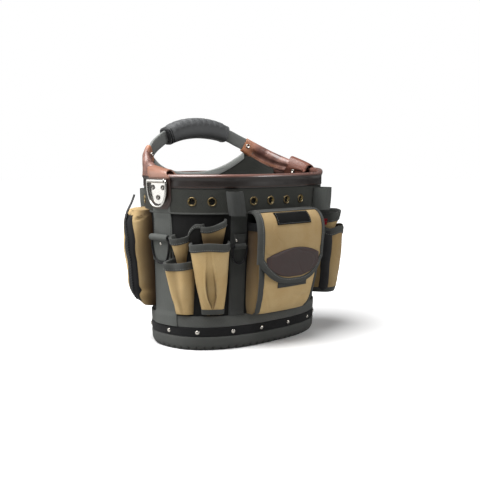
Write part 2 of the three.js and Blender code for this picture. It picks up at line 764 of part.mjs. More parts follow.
const LABEL = { half: 30, shift: -2, low: 0.1, high: 0.9, lift: 0.3, thick: 1.2 };
add('flap_label', sheet(6, 1, (across, v, face) => {
  const from = FLAP_OVER[2];
  const to = FLAP_OVER[3];
  const share = THREE.MathUtils.lerp(LABEL.high, LABEL.low, v);
  const slope = new THREE.Vector2(to.out - from.out, to.z - from.z).normalize();
  const rise = FLAP.thick + LABEL.lift + face * LABEL.thick;
  const out = THREE.MathUtils.lerp(from.out, to.out, share) - slope.y * rise;
  const z = THREE.MathUtils.lerp(from.z, to.z, share) + slope.x * rise;
  return wallPoint(POUCH.middle + LABEL.shift + (2 * across - 1) * LABEL.half, z, out);
}), '#161616', 0.8);

const CLOSURE = { half: 30, low: 97, high: 112, lift: 0.5, thick: 1.6 };
add('closure_strip', sheet(8, 2, (across, v, face) => {
  const along = (2 * across - 1) * CLOSURE.half;
  const z = THREE.MathUtils.lerp(CLOSURE.low, CLOSURE.high, v);
  const [, below, above] = POUCH_ROWS;
  const depth = THREE.MathUtils.mapLinear(z, below.z, above.z, below.depth, above.depth);
  return wallPoint(POUCH.middle + along, z, POUCH.base + depth + CLOSURE.lift + face * CLOSURE.thick);
}), '#202020', 0.95);

// Open tool pockets on the front left and front right, and the zipped pocket on the back left.
const POCKETS = [
  { name: 'tool_pocket_tall', middle: -132, base: GAP, squareness: 0.5, rows: [
    { z: 150, half: 12, depth: 5 },
    { z: 180, half: 15, depth: 8 },
    { z: 214, half: 20, depth: 12 },
  ] },
  { name: 'tool_pocket_narrow', middle: -179, base: GAP, squareness: 0.8, rows: [
    { z: 132, half: 6, depth: 5 },
    { z: 150, half: 9, depth: 9 },
    { z: 186, half: 14, depth: 17 },
  ] },
  { name: 'tool_pocket_left', middle: -177, base: GAP, squareness: 0.75, rows: [
    { z: POCKET_LOW, half: 15, depth: 8 },
    { z: 100, half: 18, depth: 19 },
    { z: 150, half: 19, depth: 27 },
  ] },
  { name: 'tool_pocket_middle', middle: -135, base: GAP, squareness: 0.75, rows: [
    { z: POCKET_LOW, half: 16, depth: 10 },
    { z: 110, half: 20, depth: 22 },
    { z: 176, half: 23, depth: 31 },
  ] },
  { name: 'side_pouch_inner', middle: 152, base: WIDE_SEAM, squareness: 0.5, columns: 16, rows: [
    { z: 120, half: 24, depth: 8 },
    { z: 180, half: 33, depth: 24 },
    { z: 213, half: 38, depth: 36 },
  ] },
  { name: 'side_pouch_outer', middle: 152, base: WIDE_SEAM, squareness: 0.5, columns: 16, rows: [
    { z: 72, half: 38, depth: 34 },
    { z: 120, half: 43, depth: 43 },
    { z: 188, half: 43, depth: 45 },
  ] },
];
for (const { name, ...shape } of POCKETS) add(name, pocket({ ...shape, floor: true }), TAN, 0.95);

add('zip_pocket', pocket({
  middle: -292,
  base: WIDE_SEAM,
  squareness: 0.42,
  floor: true,
  roof: true,
  columns: 14,
  rows: [
    { z: 66, half: 36, depth: 14 },
    { z: 80, half: 41, depth: 20 },
    { z: 150, half: 42, depth: 33 },
    { z: 205, half: 42, depth: 34 },
    { z: 216, half: 39, depth: 28 },
  ],
}), TAN, 0.95);

export default bag;
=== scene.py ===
import bisect
import math

import bpy
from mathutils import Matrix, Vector, noise


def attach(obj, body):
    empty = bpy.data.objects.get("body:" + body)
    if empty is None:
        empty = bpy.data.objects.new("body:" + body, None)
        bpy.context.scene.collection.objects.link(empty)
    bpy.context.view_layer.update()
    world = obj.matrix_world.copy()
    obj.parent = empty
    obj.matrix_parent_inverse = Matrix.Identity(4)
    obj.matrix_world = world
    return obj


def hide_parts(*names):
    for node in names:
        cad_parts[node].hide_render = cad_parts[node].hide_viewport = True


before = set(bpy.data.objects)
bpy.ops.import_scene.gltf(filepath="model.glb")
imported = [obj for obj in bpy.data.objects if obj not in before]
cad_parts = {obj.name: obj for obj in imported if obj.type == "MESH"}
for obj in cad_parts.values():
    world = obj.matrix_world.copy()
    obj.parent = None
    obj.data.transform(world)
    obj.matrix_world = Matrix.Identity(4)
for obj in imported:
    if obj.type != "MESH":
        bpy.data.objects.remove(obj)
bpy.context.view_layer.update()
mm = 0.001

# plan of the oval wall: a superellipse that widens evenly from base to rim
plan = {"power": 2.4, "lowZ": 38, "lowA": 158, "lowB": 99.5, "highZ": 263, "highA": 166, "highB": 116.5}
heights = {"tubTop": 22.9, "bandTop": 37.8, "hemTop": 57, "half": 150, "gromLow": 222, "gromHigh": 262.6,
           "eyelet": 242.5, "rim": 283}


def lerp(a, b, t):
    return a + (b - a) * t


def smoothStep(a, b, x):
    t = min(1, max(0, (x - a) / (b - a)))
    return t * t * (3 - 2 * t)


def hump(x, wide):
    # 1 at nought, falling away smoothly on both sides
    return math.exp(-(x / wide) ** 2)


def signedPower(value, power):
    return math.copysign(abs(value) ** power, value)


def planAt(z):
    # half length and half width of the oval
    t = (z - plan["lowZ"]) / (plan["highZ"] - plan["lowZ"])
    return lerp(plan["lowA"], plan["highA"], t), lerp(plan["lowB"], plan["highB"], t)


def ovalPoint(angle, z, out=0, share=1):
    a, b = planAt(z)
    x = a * signedPower(math.cos(angle), 2 / plan["power"])
    y = b * signedPower(math.sin(angle), 2 / plan["power"])
    nx = signedPower(x / a, plan["power"] - 1) / a
    ny = signedPower(y / b, plan["power"] - 1) / b
    n = math.hypot(nx, ny)
    return Vector(((x + nx / n * out) * share, (y + ny / n * out) * share, z)) * mm


# arc length against angle at half height
arcSteps = 1440
arcs = [0]
for i in range(1, arcSteps + 1):
    start, end = (ovalPoint(math.tau * k / arcSteps, heights["half"]) for k in (i - 1, i))
    arcs.append(arcs[-1] + (end - start).length / mm)
around = arcs[-1]
leftEnd, rightEnd = -around / 4, around / 4


def angleAt(s):
    # s is the way along the wall in mm from the middle of the front, to the right
    length = (s + 0.75 * around) % around
    i = min(arcSteps, max(1, bisect.bisect_left(arcs, length)))
    t = (length - arcs[i - 1]) / (arcs[i] - arcs[i - 1])
    return math.tau * (i - 1 + t) / arcSteps


def wallPoint(s, z, out=0):
    return ovalPoint(angleAt(s), z, out)


def wallAxes(s, z):
    # outwards, up the wall and along it
    level = wallPoint(s, z, 1) - wallPoint(s, z, 0)
    along = level.cross(Vector((0, 0, 1))).normalized()
    up = wallPoint(s, z + 1) - wallPoint(s, z)
    up = (up - along * up.dot(along)).normalized()
    return up.cross(along), up, along


def onWall(s, z, out):
    # place for a small model: middle, outwards, up
    outwards, up = wallAxes(s, z)[:2]
    return wallPoint(s, z) + outwards * out * mm, outwards, up


def toBack(s):
    return math.copysign(around / 2, s) - s


def ripple(x, y, size, seed=0):
    return noise.noise(Vector((x / size, y / size, seed * 7.3 + 0.5)))


# modelling helpers
def deselect():
    if bpy.context.object and bpy.context.object.mode != "OBJECT":
        bpy.ops.object.mode_set(mode="OBJECT")
    bpy.ops.object.select_all(action="DESELECT")


def pick(piece):
    deselect()
    piece.select_set(True)
    bpy.context.view_layer.objects.active = piece


def useModifier(piece, kind, **settings):
    pick(piece)
    modifier = piece.modifiers.new(kind.title(), kind)
    for key, value in settings.items():
        setattr(modifier, key, value)
    bpy.ops.object.modifier_apply(modifier=modifier.name)


def thicken(piece, thick, offset=-1):
    useModifier(piece, "SOLIDIFY", thickness=thick * mm, offset=offset, use_even_offset=True)


def smooth(piece, degrees=40):
    pick(piece)
    bpy.ops.object.shade_smooth_by_angle(angle=math.radians(degrees))


def roundOff(piece):
    pick(piece)
    bpy.ops.object.shade_smooth()
    return piece


def editAll(piece, step):
    pick(piece)
    bpy.ops.object.mode_set(mode="EDIT")
    bpy.ops.mesh.select_all(action="SELECT")
    step()
    bpy.ops.object.mode_set(mode="OBJECT")


def weld(piece, gap=0.02):
    editAll(piece, lambda: bpy.ops.mesh.remove_doubles(threshold=gap * mm))


def faceOut(piece):
    editAll(piece, lambda: bpy.ops.mesh.normals_make_consistent(inside=False))


def capEnds(piece):
    editAll(piece, lambda: bpy.ops.mesh.fill_holes(sides=0))


def dress(piece, finish, slot, nodes=(), body="bag"):
    piece.data.materials.clear()
    piece.data.materials.append(finish)
    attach(piece, body)
    if nodes:
        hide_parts(*nodes)
    return piece


def gridPiece(name, columns, rows, lay, shade=None):
    # a flat grid cut to pattern, then laid in place point by point; its UV map is in metres of cloth
    # shade gives the piece's shade attribute at (u, v), none to 1: painted shade on the canvas, a painted
    # highlight in the eyelet barrels, and paler raw leather on the sleeves
    deselect()
    bpy.ops.mesh.primitive_grid_add(x_subdivisions=columns, y_subdivisions=rows, size=1)
    piece = bpy.context.object
    piece.name = piece.data.name = name
    mesh = piece.data
    wide = columns + 1
    flat = [((i % wide) / columns, (i // wide) / rows) for i in range(len(mesh.vertices))]
    for vertex, (u, v) in zip(mesh.vertices, flat):
        vertex.co = lay(u, v)
    points = [vertex.co for vertex in mesh.vertices]
    middle, column = (rows // 2) * wide, columns // 2
    across = sum((points[middle + i + 1] - points[middle + i]).length for i in range(columns))
    tall = sum((points[(j + 1) * wide + column] - points[j * wide + column]).length for j in range(rows))
    uv = mesh.uv_layers.active.data
    for loop in mesh.loops:
        u, v = flat[loop.vertex_index]
        uv[loop.index].uv = (u * across, v * tall)
    if shade:
        layer = mesh.attributes.new("shade", "FLOAT", "POINT")
        for i, (u, v) in enumerate(flat):
            layer.data[i].value = shade(u, v)
    return piece


def sewnPiece(name, columns, rows, lay, thick, angle, finish, slot, nodes=(), offset=-1, shade=None,
              outward=False):
    # a laid grid with its thickness, smoothed and dressed
    piece = gridPiece(name, columns, rows, lay, shade)
    thicken(piece, thick, offset)
    if outward:
        faceOut(piece)
    smooth(piece, angle)
    return dress(piece, finish, slot, nodes)


def tubePiece(name, stations, section, place, caps=True, shade=None):
    # section is a list of (side, up) points, carried through the stations
    count = len(section)

    def lay(u, v):
        return place(round(v * (stations - 1)), *section[round(u * count) % count])

    piece = gridPiece(name, count, stations - 1, lay, shade)
    weld(piece)
    if caps:
        capEnds(piece)
    faceOut(piece)
    return piece


def ringPiece(name, profile, columns=220):
    # profile of (out, z) points swept round the oval, closed on itself
    rows = len(profile) - 1

    def lay(u, v):
        out, z = profile[round(v * rows)]
        return ovalPoint(math.tau * u, z, out)

    piece = gridPiece(name, columns, rows, lay)
    weld(piece)
    return piece


def curvePath(points, steps):
    # smooth run through a few points of any size
    out = []
    last = len(points) - 1
    for k in range(steps + 1):
        place = k / steps * last
        i = min(int(place), last - 1)
        t = place - i
        p0, p1, p2, p3 = (Vector(points[min(last, max(0, i + d))]) for d in (-1, 0, 1, 2))
        out.append(0.5 * (2 * p1 + (p2 - p0) * t + (2 * p0 - 5 * p1 + 4 * p2 - p3) * t * t
                          + (3 * p1 - p0 - 3 * p2 + p3) * t ** 3))
    return out


def lens(count, halfA, halfB, power=2):
    # closed section between an ellipse and a box
    turns = [math.tau * i / count for i in range(count)]
    return [(halfA * signedPower(math.cos(turn), 2 / power), halfB * signedPower(math.sin(turn), 2 / power))
            for turn in turns]


def levelFrames(path):
    # point, level side axis and upright axis along a path
    frames = []
    for i, point in enumerate(path):
        along = (path[min(i + 1, len(path) - 1)] - path[max(i - 1, 0)]).normalized()
        side = Vector((along.y, -along.x, 0)).normalized()
        frames.append((point, side, side.cross(along).normalized()))
    return frames


def runLengths(points):
    # length along a run of points, from nought
    lengths = [0]
    for p, q in zip(points, points[1:]):
        lengths.append(lengths[-1] + (q - p).length)
    return lengths


def joinAll(name, pieces):
    deselect()
    for piece in pieces:
        piece.select_set(True)
    bpy.context.view_layer.objects.active = pieces[0]
    bpy.ops.object.join()
    joined = bpy.context.object
    joined.name = joined.data.name = name
    return joined


def settle(piece):
    # place and turn go into the mesh, the object stays at the origin
    pick(piece)
    bpy.ops.object.transform_apply(location=True, rotation=True, scale=True)


def scatter(name, model, places):
    # one small model copied to many places, each (middle, outwards, up)
    verts, faces = [], []
    base = [v.co.copy() for v in model.data.vertices]
    polys = [tuple(p.vertices) for p in model.data.polygons]
    for middle, outwards, up in places:
        side = up.cross(outwards).normalized()
        start = len(verts)
        verts += [middle + side * c.x + up * c.y + outwards * c.z for c in base]
        faces += [tuple(start + i for i in poly) for poly in polys]
    mesh = bpy.data.meshes.new(name)
    mesh.from_pydata(verts, [], faces)
    mesh.update()
    many = bpy.data.objects.new(name, mesh)
    bpy.context.scene.collection.objects.link(many)
    bpy.data.objects.remove(model)
    faceOut(many)
    return roundOff(many)


# shader helpers and the groups shared by the finishes
def linear(hexColour):
    parts = [int(hexColour[i:i + 2], 16) / 255 for i in (1, 3, 5)]
    return (*[c / 12.92 if c <= 0.04045 else ((c + 0.055) / 1.055) ** 2.4 for c in parts], 1)


def feed(tree, node, inputs):
    # a number or colour is set on the socket, anything else is linked to it
    for key, value in inputs.items():
        if isinstance(value, (int, float, tuple)):
            node.inputs[key].default_value = value
        else:
            tree.links.new(value, node.inputs[key])


def addNode(tree, kind, inputs, **settings):
    node = tree.nodes.new("ShaderNode" + kind)
    for key, value in settings.items():
        setattr(node, key, value)
    feed(tree, node, inputs)
    return node


def mathNode(tree, operation, *values):
    return addNode(tree, "Math", dict(enumerate(values)), operation=operation).outputs[0]


def mixColour(tree, share, a, b, mode="MIX"):
    return addNode(tree, "Mix", {0: share, 6: a, 7: b}, data_type="RGBA", blend_type=mode).outputs[2]


def remap(tree, value, ends, **settings):
    return addNode(tree, "MapRange", {"Value": value, **ends}, **settings).outputs[0]


def shadeOf(tree):
    return addNode(tree, "Attribute", {}, attribute_name="shade").outputs["Fac"]


def useGroup(tree, group, **inputs):
    return addNode(tree, "Group", inputs, node_tree=group).outputs


def bump(tree, shader, height, strength, depth):
    node = addNode(tree, "Bump", {"Strength": strength, "Distance": depth, "Height": height})
    feed(tree, shader, {"Normal": node.outputs[0]})


def newGroup(name, outputs, **inputs):
    # an input with no value of its own is a vector
    group = bpy.data.node_groups.new(name, "ShaderNodeTree")
    for label, value in inputs.items():
        kind = "NodeSocketVector" if value is None else "NodeSocketFloat"
        socket = group.interface.new_socket(label, in_out="INPUT", socket_type=kind)
        if value is not None:
            socket.default_value = value
    for label in outputs:
        group.interface.new_socket(label, in_out="OUTPUT", socket_type="NodeSocketFloat")
    return group, group.nodes.new("NodeGroupInput").outputs, group.nodes.new("NodeGroupOutput")


def weaveGroup():
    # plain weave from cloth coordinates in metres
    group, given, end = newGroup("weave", ("Height", "Shade"), Cloth=None, Yarns=900, Slub=0.4)
    split = addNode(group, "SeparateXYZ", {0: given["Cloth"]})
    waves = []
    for axis in (0, 1):
        turn = mathNode(group, "MULTIPLY", split.outputs[axis], given["Yarns"])
        waves.append(mathNode(group, "SINE", mathNode(group, "MULTIPLY", turn, math.pi)))
    over = mathNode(group, "MULTIPLY_ADD", mathNode(group, "MULTIPLY", *waves), 0.5, 0.5)
    slub = addNode(group, "TexNoise", {"Scale": 420, "Detail": 3, "Vector": given["Cloth"]})
    shift = mathNode(group, "MULTIPLY", mathNode(group, "SUBTRACT", slub.outputs[0], 0.5), given["Slub"])
    total = mathNode(group, "ADD", over, shift)
    feed(group, end, {"Height": total, "Shade": mathNode(group, "MULTIPLY_ADD", total, 0.35, 0.65)})
    return group


def handlingGroup():
    # slow colour changes, handling marks and dust
    group, given, end = newGroup("handling", ("Mask",), Place=None, Size=14, Strength=0.3)
    cloud = addNode(group, "TexNoise", {"Detail": 5, "Roughness": 0.6, "Vector": given["Place"],
                                        "Scale": given["Size"]})
    spread = remap(group, cloud.outputs[0], {"From Min": 0.32, "From Max": 0.7})
    feed(group, end, {"Mask": mathNode(group, "MULTIPLY", spread, given["Strength"])})
    return group


def grainGroup():
    # pebbled leather or moulded skin
    group, given, end = newGroup("grain", ("Height",), Place=None, Size=500)
    cells = addNode(group, "TexVoronoi", {"Vector": given["Place"], "Scale": given["Size"]},
                    feature="SMOOTH_F1")
    fine = addNode(group, "TexNoise", {"Scale": 240, "Detail": 6, "Vector": given["Place"]})
    feed(group, end, {"Height": mathNode(group, "ADD", cells.outputs["Distance"], fine.outputs[0])})
    return group


weave, handling, grain = weaveGroup(), handlingGroup(), grainGroup()


def newMaterial(name):
    material = bpy.data.materials.new(name)
    material.use_nodes = True
    return material, material.node_tree, material.node_tree.nodes["Principled BSDF"]


def newFinish(name, colour, worn, size, strength):
    # material with its tree, shader, coordinates, base colour, and the handling marks that change it
    material, tree, shader = newMaterial(name)
    where = addNode(tree, "TexCoord", {}).outputs
    marks = useGroup(tree, handling, Place=where["Object"], Size=size, Strength=strength)[0]
    return material, tree, shader, where, mixColour(tree, marks, linear(colour), linear(worn)), marks


def clothFinish(name, colour, worn, yarns, depth, sheen=0.15, deep="#1d150b"):
    # woven cloth; the piece's shade attribute darkens it towards deep as painted shade
    material, tree, shader, where, base = newFinish(name, colour, worn, 22, 0.5)[:5]
    cloth = useGroup(tree, weave, Cloth=where["UV"], Yarns=yarns)
    yarn = addNode(tree, "CombineColor", {i: cloth["Shade"] for i in range(3)})
    woven = mixColour(tree, 0.8, base, yarn.outputs[0], "MULTIPLY")
    feed(tree, shader, {"Base Color": mixColour(tree, shadeOf(tree), woven, linear(deep)), "Roughness": 0.9,
                        "Sheen Weight": sheen, "Specular IOR Level": 0.12})
    bump(tree, shader, cloth["Height"], 0.6, depth)
    return material


def webbingFinish(name, colour, worn):
    # ribbed webbing: fine cross ribs with a slower herringbone shade
    material, tree, shader, where, base = newFinish(name, colour, worn, 30, 0.45)[:5]
    cloth = useGroup(tree, weave, Cloth=where["UV"], Yarns=620, Slub=0.25)
    ribs = addNode(tree, "TexWave", {"Scale": 60, "Distortion": 0.4, "Vector": where["UV"]},
                   bands_direction="X").outputs["Fac"]
    ribbed = mixColour(tree, mathNode(tree, "MULTIPLY", ribs, 0.12), base, linear(worn))
    feed(tree, shader, {"Base Color": ribbed, "Roughness": 0.85, "Sheen Weight": 0.04,
                        "Specular IOR Level": 0.18})
    height = mathNode(tree, "ADD", cloth["Height"], mathNode(tree, "MULTIPLY", ribs, 0.3))
    bump(tree, shader, height, 0.5, 0.0005)
    return material


def leatherFinish(name, colour, worn, rough, top=None, wear=0.6, coat=0, raw=None):
    # waxed leather; top is (low, high, colour), lighter towards that colour from low to high in metres:
    # rubbed wear and a painted highlight
    material, tree, shader, where, base, marks = newFinish(name, colour, worn, 38, wear)
    if raw:  # paler where the piece's shade says the leather is cut or rubbed
        base = mixColour(tree, shadeOf(tree), base, linear(raw))
    if top:
        low, high, topColour = top
        z = addNode(tree, "SeparateXYZ", {0: where["Object"]}).outputs[2]
        rise = remap(tree, z, {"From Min": low, "From Max": high}, interpolation_type="SMOOTHSTEP")
        base = mixColour(tree, rise, base, linear(topColour))
        coat = mathNode(tree, "MULTIPLY", rise, coat)
    gloss = remap(tree, marks, {"To Min": rough - 0.08, "To Max": rough + 0.2})
    feed(tree, shader, {"Base Color": base, "Roughness": gloss, "Coat Weight": coat, "Coat Roughness": 0.22})
    bump(tree, shader, useGroup(tree, grain, Place=where["Object"], Size=650)[0], 0.25, 0.0006)
    return material


def mouldedFinish(name, colour, worn, rough):
    material, tree, shader, where, base = newFinish(name, colour, worn, 20, 0.6)[:5]
    feed(tree, shader, {"Base Color": base, "Roughness": rough, "Specular IOR Level": 0.35})
    bump(tree, shader, useGroup(tree, grain, Place=where["Object"], Size=900)[0], 0.3, 0.0003)
    return material


def metalFinish(name, colour, worn, rough, metallic=1.0, marked=0.7, inner=None):
    material, tree, shader, _, base, marks = newFinish(name, colour, worn, 120, marked)
    if inner:  # painted highlight where the piece's shade attribute says so
        base = mixColour(tree, shadeOf(tree), base, linear(inner))
    gloss = remap(tree, marks, {"To Min": rough, "To Max": rough + 0.15})
    feed(tree, shader, {"Base Color": base, "Roughness": gloss, "Metallic": metallic})
    return material


tanCanvas = clothFinish("tanCanvas", "#ba9d6d", "#cfb88d", 850, 0.0006, sheen=0.05, deep="#221008")
darkNylon = clothFinish("darkNylon", "#171717", "#202020", 700, 0.0005, sheen=0.03)
charcoalNylon = clothFinish("charcoalNylon", "#353633", "#434440", 700, 0.0005, sheen=0.03)
greyNylon = clothFinish("greyNylon", "#515250", "#5d5e5b", 700, 0.0005, sheen=0.05)
labelCloth = clothFinish("labelCloth", "#0f0f0f", "#171717", 1400, 0.0003, sheen=0)
redCloth = clothFinish("redCloth", "#9c1f26", "#b02a30", 1200, 0.0003)
greyBinding = webbingFinish("greyBinding", "#3a3b39", "#4a4b49")
# a lighter copy of the grey binding for the panel's top edge: painted light from above
litBinding = webbingFinish("litBinding", "#8b8e8b", "#9a9c99")
greyWebbing = webbingFinish("greyWebbing", "#4a4c4a", "#575956")
strapWebbing = webbingFinish("strapWebbing", "#626462", "#70726f")
darkWebbing = webbingFinish("darkWebbing", "#363736", "#424341")
loopWebbing = webbingFinish("loopWebbing", "#464846", "#555754")
blackWebbing = webbingFinish("blackWebbing", "#121213", "#1b1b1c")
seamWebbing = webbingFinish("seamWebbing", "#2a2a2b", "#353536")
# the rim's rolled top is lighter towards its colour: rubbed leather and a painted highlight
rimLeather = leatherFinish("rimLeather", "#17110f", "#231916", 0.36, (0.279, 0.2845, "#6b4a41"), coat=1)
tabLeather = {}
# each tab's top is lighter: rubbed leather and painted light, the left tab painted lighter than the right
for side, rubbedAndLit, shine in (("Left", "#805846", 0.2), ("Right", "#653f33", 0)):
    tabLeather[side] = leatherFinish("tabLeather" + side, "#2a1f1c", "#3a2822", 0.4, (0.276, 0.282, rubbedAndLit),
                                     coat=shine)
sleeveLeather = leatherFinish("sleeveLeather", "#4f332d", "#946c5f", 0.4, wear=1, coat=0.5, raw="#b0744f")
patchLeather = leatherFinish("patchLeather", "#281816", "#36211f", 0.55)
baseRubber = mouldedFinish("baseRubber", "#3d3e3c", "#4a4b49", 0.75)
gripRubber = mouldedFinish("gripRubber", "#444546", "#505152", 0.62)
blackPlastic = mouldedFinish("blackPlastic", "#101112", "#1b1c1d", 0.4)
thread = mouldedFinish("thread", "#6f6f6c", "#8a8a86", 0.8)
darkThread = mouldedFinish("darkThread", "#2f3030", "#434443", 0.8)
brownThread = mouldedFinish("brownThread", "#452b22", "#5c3b2f", 0.8)
steel = metalFinish("steel", "#bdbbb7", "#a9a7a3", 0.22, marked=0.2)
darkSteel = metalFinish("darkSteel", "#6b6864", "#45423f", 0.25)
nickel = metalFinish("nickel", "#c6c2bb", "#8f8b85", 0.2)
# the eyelets' brass, with a painted highlight colour for their barrels
brass = metalFinish("brass", "#6f6146", "#4d4230", 0.3, marked=0.4, inner="#e2d3a8")
blackMetal = metalFinish("blackMetal", "#1b1b1d", "#2c2c2e", 0.35, 0.7)
print("finishes ready")

# sewing thread: pitch, length and radius of a stitch
fineStitch = (3.6, 2.4, 0.35)


def stitches(name, runs, finish, slot, pitch, long, radius):
    # runs are lists of (point, outwards) along a seam
    deselect()
    bpy.ops.mesh.primitive_uv_sphere_add(segments=6, ring_count=4, radius=1)
    model = bpy.context.object
    model.scale = (radius * mm, long / 2 * mm, radius * 0.8 * mm)
    settle(model)
    places = []
    for run in runs:
        left = pitch / 2 * mm
        for (p, n), (q, m) in zip(run, run[1:]):
            length = (q - p).length
            while left <= length and length > 0:
                t = left / length
                outwards = n.lerp(m, t).normalized()
                along = (q - p).normalized()
                along = (along - outwards * along.dot(outwards)).normalized()
                places.append((p.lerp(q, t), outwards, along))
                left += pitch * mm
            left -= length
    dress(scatter(name, model, places), finish, slot)


def wallRun(s0, s1, z0, z1, out, steps=40):
    run = []
    for k in range(steps + 1):
        s, z = lerp(s0, s1, k / steps), lerp(z0, z1, k / steps)
        run.append((wallPoint(s, z, out), wallAxes(s, z)[0]))
    return run


def domeModel(radius, rise):
    # pressed rivet head with a turned-down edge
    deselect()
    bpy.ops.mesh.primitive_uv_sphere_add(segments=20, ring_count=10, radius=radius * mm)
    model = bpy.context.object
    model.scale = (1, 1, rise / radius)
    settle(model)
    return model


# shares of the radius, across and up
hollowRivet = [(1, -0.2), (1, 0.12), (0.93, 0.3), (0.8, 0.38), (0.66, 0.3), (0.55, 0.06), (0.3, -0.02),
               (0, -0.03)]


def rivetModel(radius):
    # hollow rivet: rolled lip round a dished middle
    rows = len(hollowRivet) - 1

    def lay(u, v):
        share, rise = hollowRivet[round(v * rows)]
        return Vector((math.cos(math.tau * u) * share, math.sin(math.tau * u) * share, rise)) * radius * mm

    model = gridPiece("rivet", 22, rows, lay)
    weld(model, 0.005)
    return model


def blockModel(wide, tall, deep, edge, segments):
    # small block with rounded edges
    deselect()
    bpy.ops.mesh.primitive_cube_add(size=1)
    model = bpy.context.object
    model.scale = (wide * mm, tall * mm, deep * mm)
    settle(model)
    useModifier(model, "BEVEL", width=edge * mm, segments=segments)
    return model


# base: rubber tub with a notched foot, riveted band and hem; its profile is (share of the oval, out, z)
tub = {"columns": 756, "notch": 14, "notchDepth": 2.4, "notchTop": 7, "notchFrom": -4.4,
       "profile": [(0, 0, 0), (0.5, -4, 0), (0.96, -4, 0), (1, -4.5, 0), (1, -2.2, 0.5), (1, -0.2, 1.8),
                   (1, 1.2, 4), (1, 2.4, 7), (1, 3, 8.4), (1, 3.3, 12), (1, 3.5, 17), (1, 3.6, 21.4),
                   (1, 3.2, 22.6), (1, 2.4, 22.9), (1, 0.5, 22.9), (1, 0.4, 14), (1, 0.4, 4), (0.5, 0, 4),
                   (0, 0, 4)]}


def makeTub():
    rows = len(tub["profile"]) - 1
    notches = round(around / tub["notch"])

    def lay(u, v):
        share, out, z = tub["profile"][round(v * rows)]
        groove = smoothStep(0.55, 0.95, math.cos(math.tau * u * notches))
        foot = 1 - smoothStep(tub["notchTop"] - 2, tub["notchTop"], z)
        if share == 1 and out > tub["notchFrom"]:
            out -= tub["notchDepth"] * groove * foot
        return ovalPoint(angleAt((u - 0.75) * around), z, out, share)

    piece = gridPiece("rubberTub", tub["columns"], rows, lay)
    weld(piece)
    faceOut(piece)
    smooth(piece, 35)
    dress(piece, baseRubber, "base_rubber", ["base_tub"])


def softBand(low, high, inside, outside, bulge):
    middle = (low + high) / 2
    edge = min(0.8, (outside - inside) / 2)
    return [(inside, middle), (inside, low + edge), (inside + edge * 0.4, low), (outside - edge, low),
            (outside, low + edge), (outside + bulge, middle), (outside, high - edge), (outside - edge, high),
            (inside + edge * 0.4, high), (inside, high - edge), (inside, middle)]


# each band's face stands out from the wall; gap is the slit under it, seat is where its back lies
bands = {"baseOut": 3, "hemOut": 2.2, "gromOut": 2.3, "gap": 0.3, "seat": 0.3, "bulge": 0.3, "gromBulge": 0.2}
wallCloth = {"levels": (4.3, 60, 120, 180, 230, 280), "thick": 2.5}


def makeRings():
    for name, low, high, finish, slot in (("base", "tubTop", "bandTop", blackWebbing, "black_webbing"),
                                          ("hem", "bandTop", "hemTop", greyNylon, "grey_webbing")):
        piece = ringPiece(name + "Band", softBand(heights[low] + bands["gap"], heights[high], bands["seat"],
                                                  bands[name + "Out"], bands["bulge"]))
        smooth(piece)
        dress(piece, finish, slot, [name + "_band"])
    wall = ringPiece("bodyWall", [(0, z) for z in wallCloth["levels"]])
    thicken(wall, wallCloth["thick"])
    smooth(wall)
    dress(wall, darkNylon, "dark_nylon", ["body_wall"])


rivets = {"places": [-211, -156, -95, -38, 28, 92, 152, 211], "z": 30.5, "seat": 3.3, "head": (3.6, 1.9)}


def makeRivets():
    front = rivets["places"]
    back = [toBack(s) for s in front[1:-1]]
    places = [onWall(s, rivets["z"], rivets["seat"]) for s in front + back]
    dress(scatter("bandRivets", domeModel(*rivets["head"]), places), nickel, "polished_steel")


# eyelet profile is (radius, rise), the hem under the eyelet band is (out, z)
eyelet = {"places": [-164, -134, -66, -32, 4, 40, 134, 164], "hole": 6.1, "cut": 12, "seat": 2.6,
          "columns": 32, "thick": 0.4,
          "profile": [(5, -2.4), (5.3, -1.6), (5.5, -0.6), (5.6, 0.2), (5.9, 0.7), (6.4, 0.9), (6.9, 0.6),
                      (7.1, 0.1), (6.9, -0.1)],
          "hem": [(2.2, 0), (2.9, -0.2), (3.5, 0.6), (3.4, 2), (2.7, 2.6), (2.2, 2.6), (2.2, 0)]}


def makeGrommets():
    band = ringPiece("grommetBand", softBand(heights["gromLow"], heights["gromHigh"], bands["seat"],
                                             bands["gromOut"], bands["gromBulge"]))
    everyPlace = eyelet["places"] + [toBack(s) for s in eyelet["places"]]
    cutters = []
    for s in everyPlace:
        deselect()
        bpy.ops.mesh.primitive_cylinder_add(vertices=24, radius=eyelet["hole"] * mm, depth=eyelet["cut"] * mm)
        cutter = bpy.context.object
        cutter.rotation_mode = "QUATERNION"
        cutter.rotation_quaternion = wallAxes(s, heights["eyelet"])[0].to_track_quat("Z", "Y")
        cutter.location = wallPoint(s, heights["eyelet"], 1)
        settle(cutter)
        cutters.append(cutter)
    cutter = joinAll("eyeletCutters", cutters)
    useModifier(band, "BOOLEAN", operation="DIFFERENCE", object=cutter, solver="EXACT")
    bpy.data.objects.remove(cutter)
    smooth(band)
    dress(band, charcoalNylon, "black_webbing", ["grommet_band"])
    hem = ringPiece("bandHem", [(out, heights["gromLow"] + z) for out, z in eyelet["hem"]])
    smooth(hem, 60)
    dress(hem, greyBinding, "grey_webbing")
    profile = eyelet["profile"]
    rows = len(profile) - 1
    for number, s in enumerate(everyPlace, 1):
        middle, outwards, up = onWall(s, heights["eyelet"], eyelet["seat"])
        side = up.cross(outwards)

        def lay(u, v):
            radius, rise = profile[round(v * rows)]
            turn = math.tau * u
            return middle + (side * math.cos(turn) + up * math.sin(turn)) * radius * mm + outwards * rise * mm

        # the barrel inside each eyelet gets a painted highlight
        ring = gridPiece("eyeletRing%02d" % number, eyelet["columns"], rows, lay,
                         lambda u, v: 1 - smoothStep(0.25, 0.45, v))
        weld(ring)
        thicken(ring, eyelet["thick"])
        smooth(ring, 60)
        dress(ring, brass, "eyelet_brass", ["eyelet_%02d" % number])


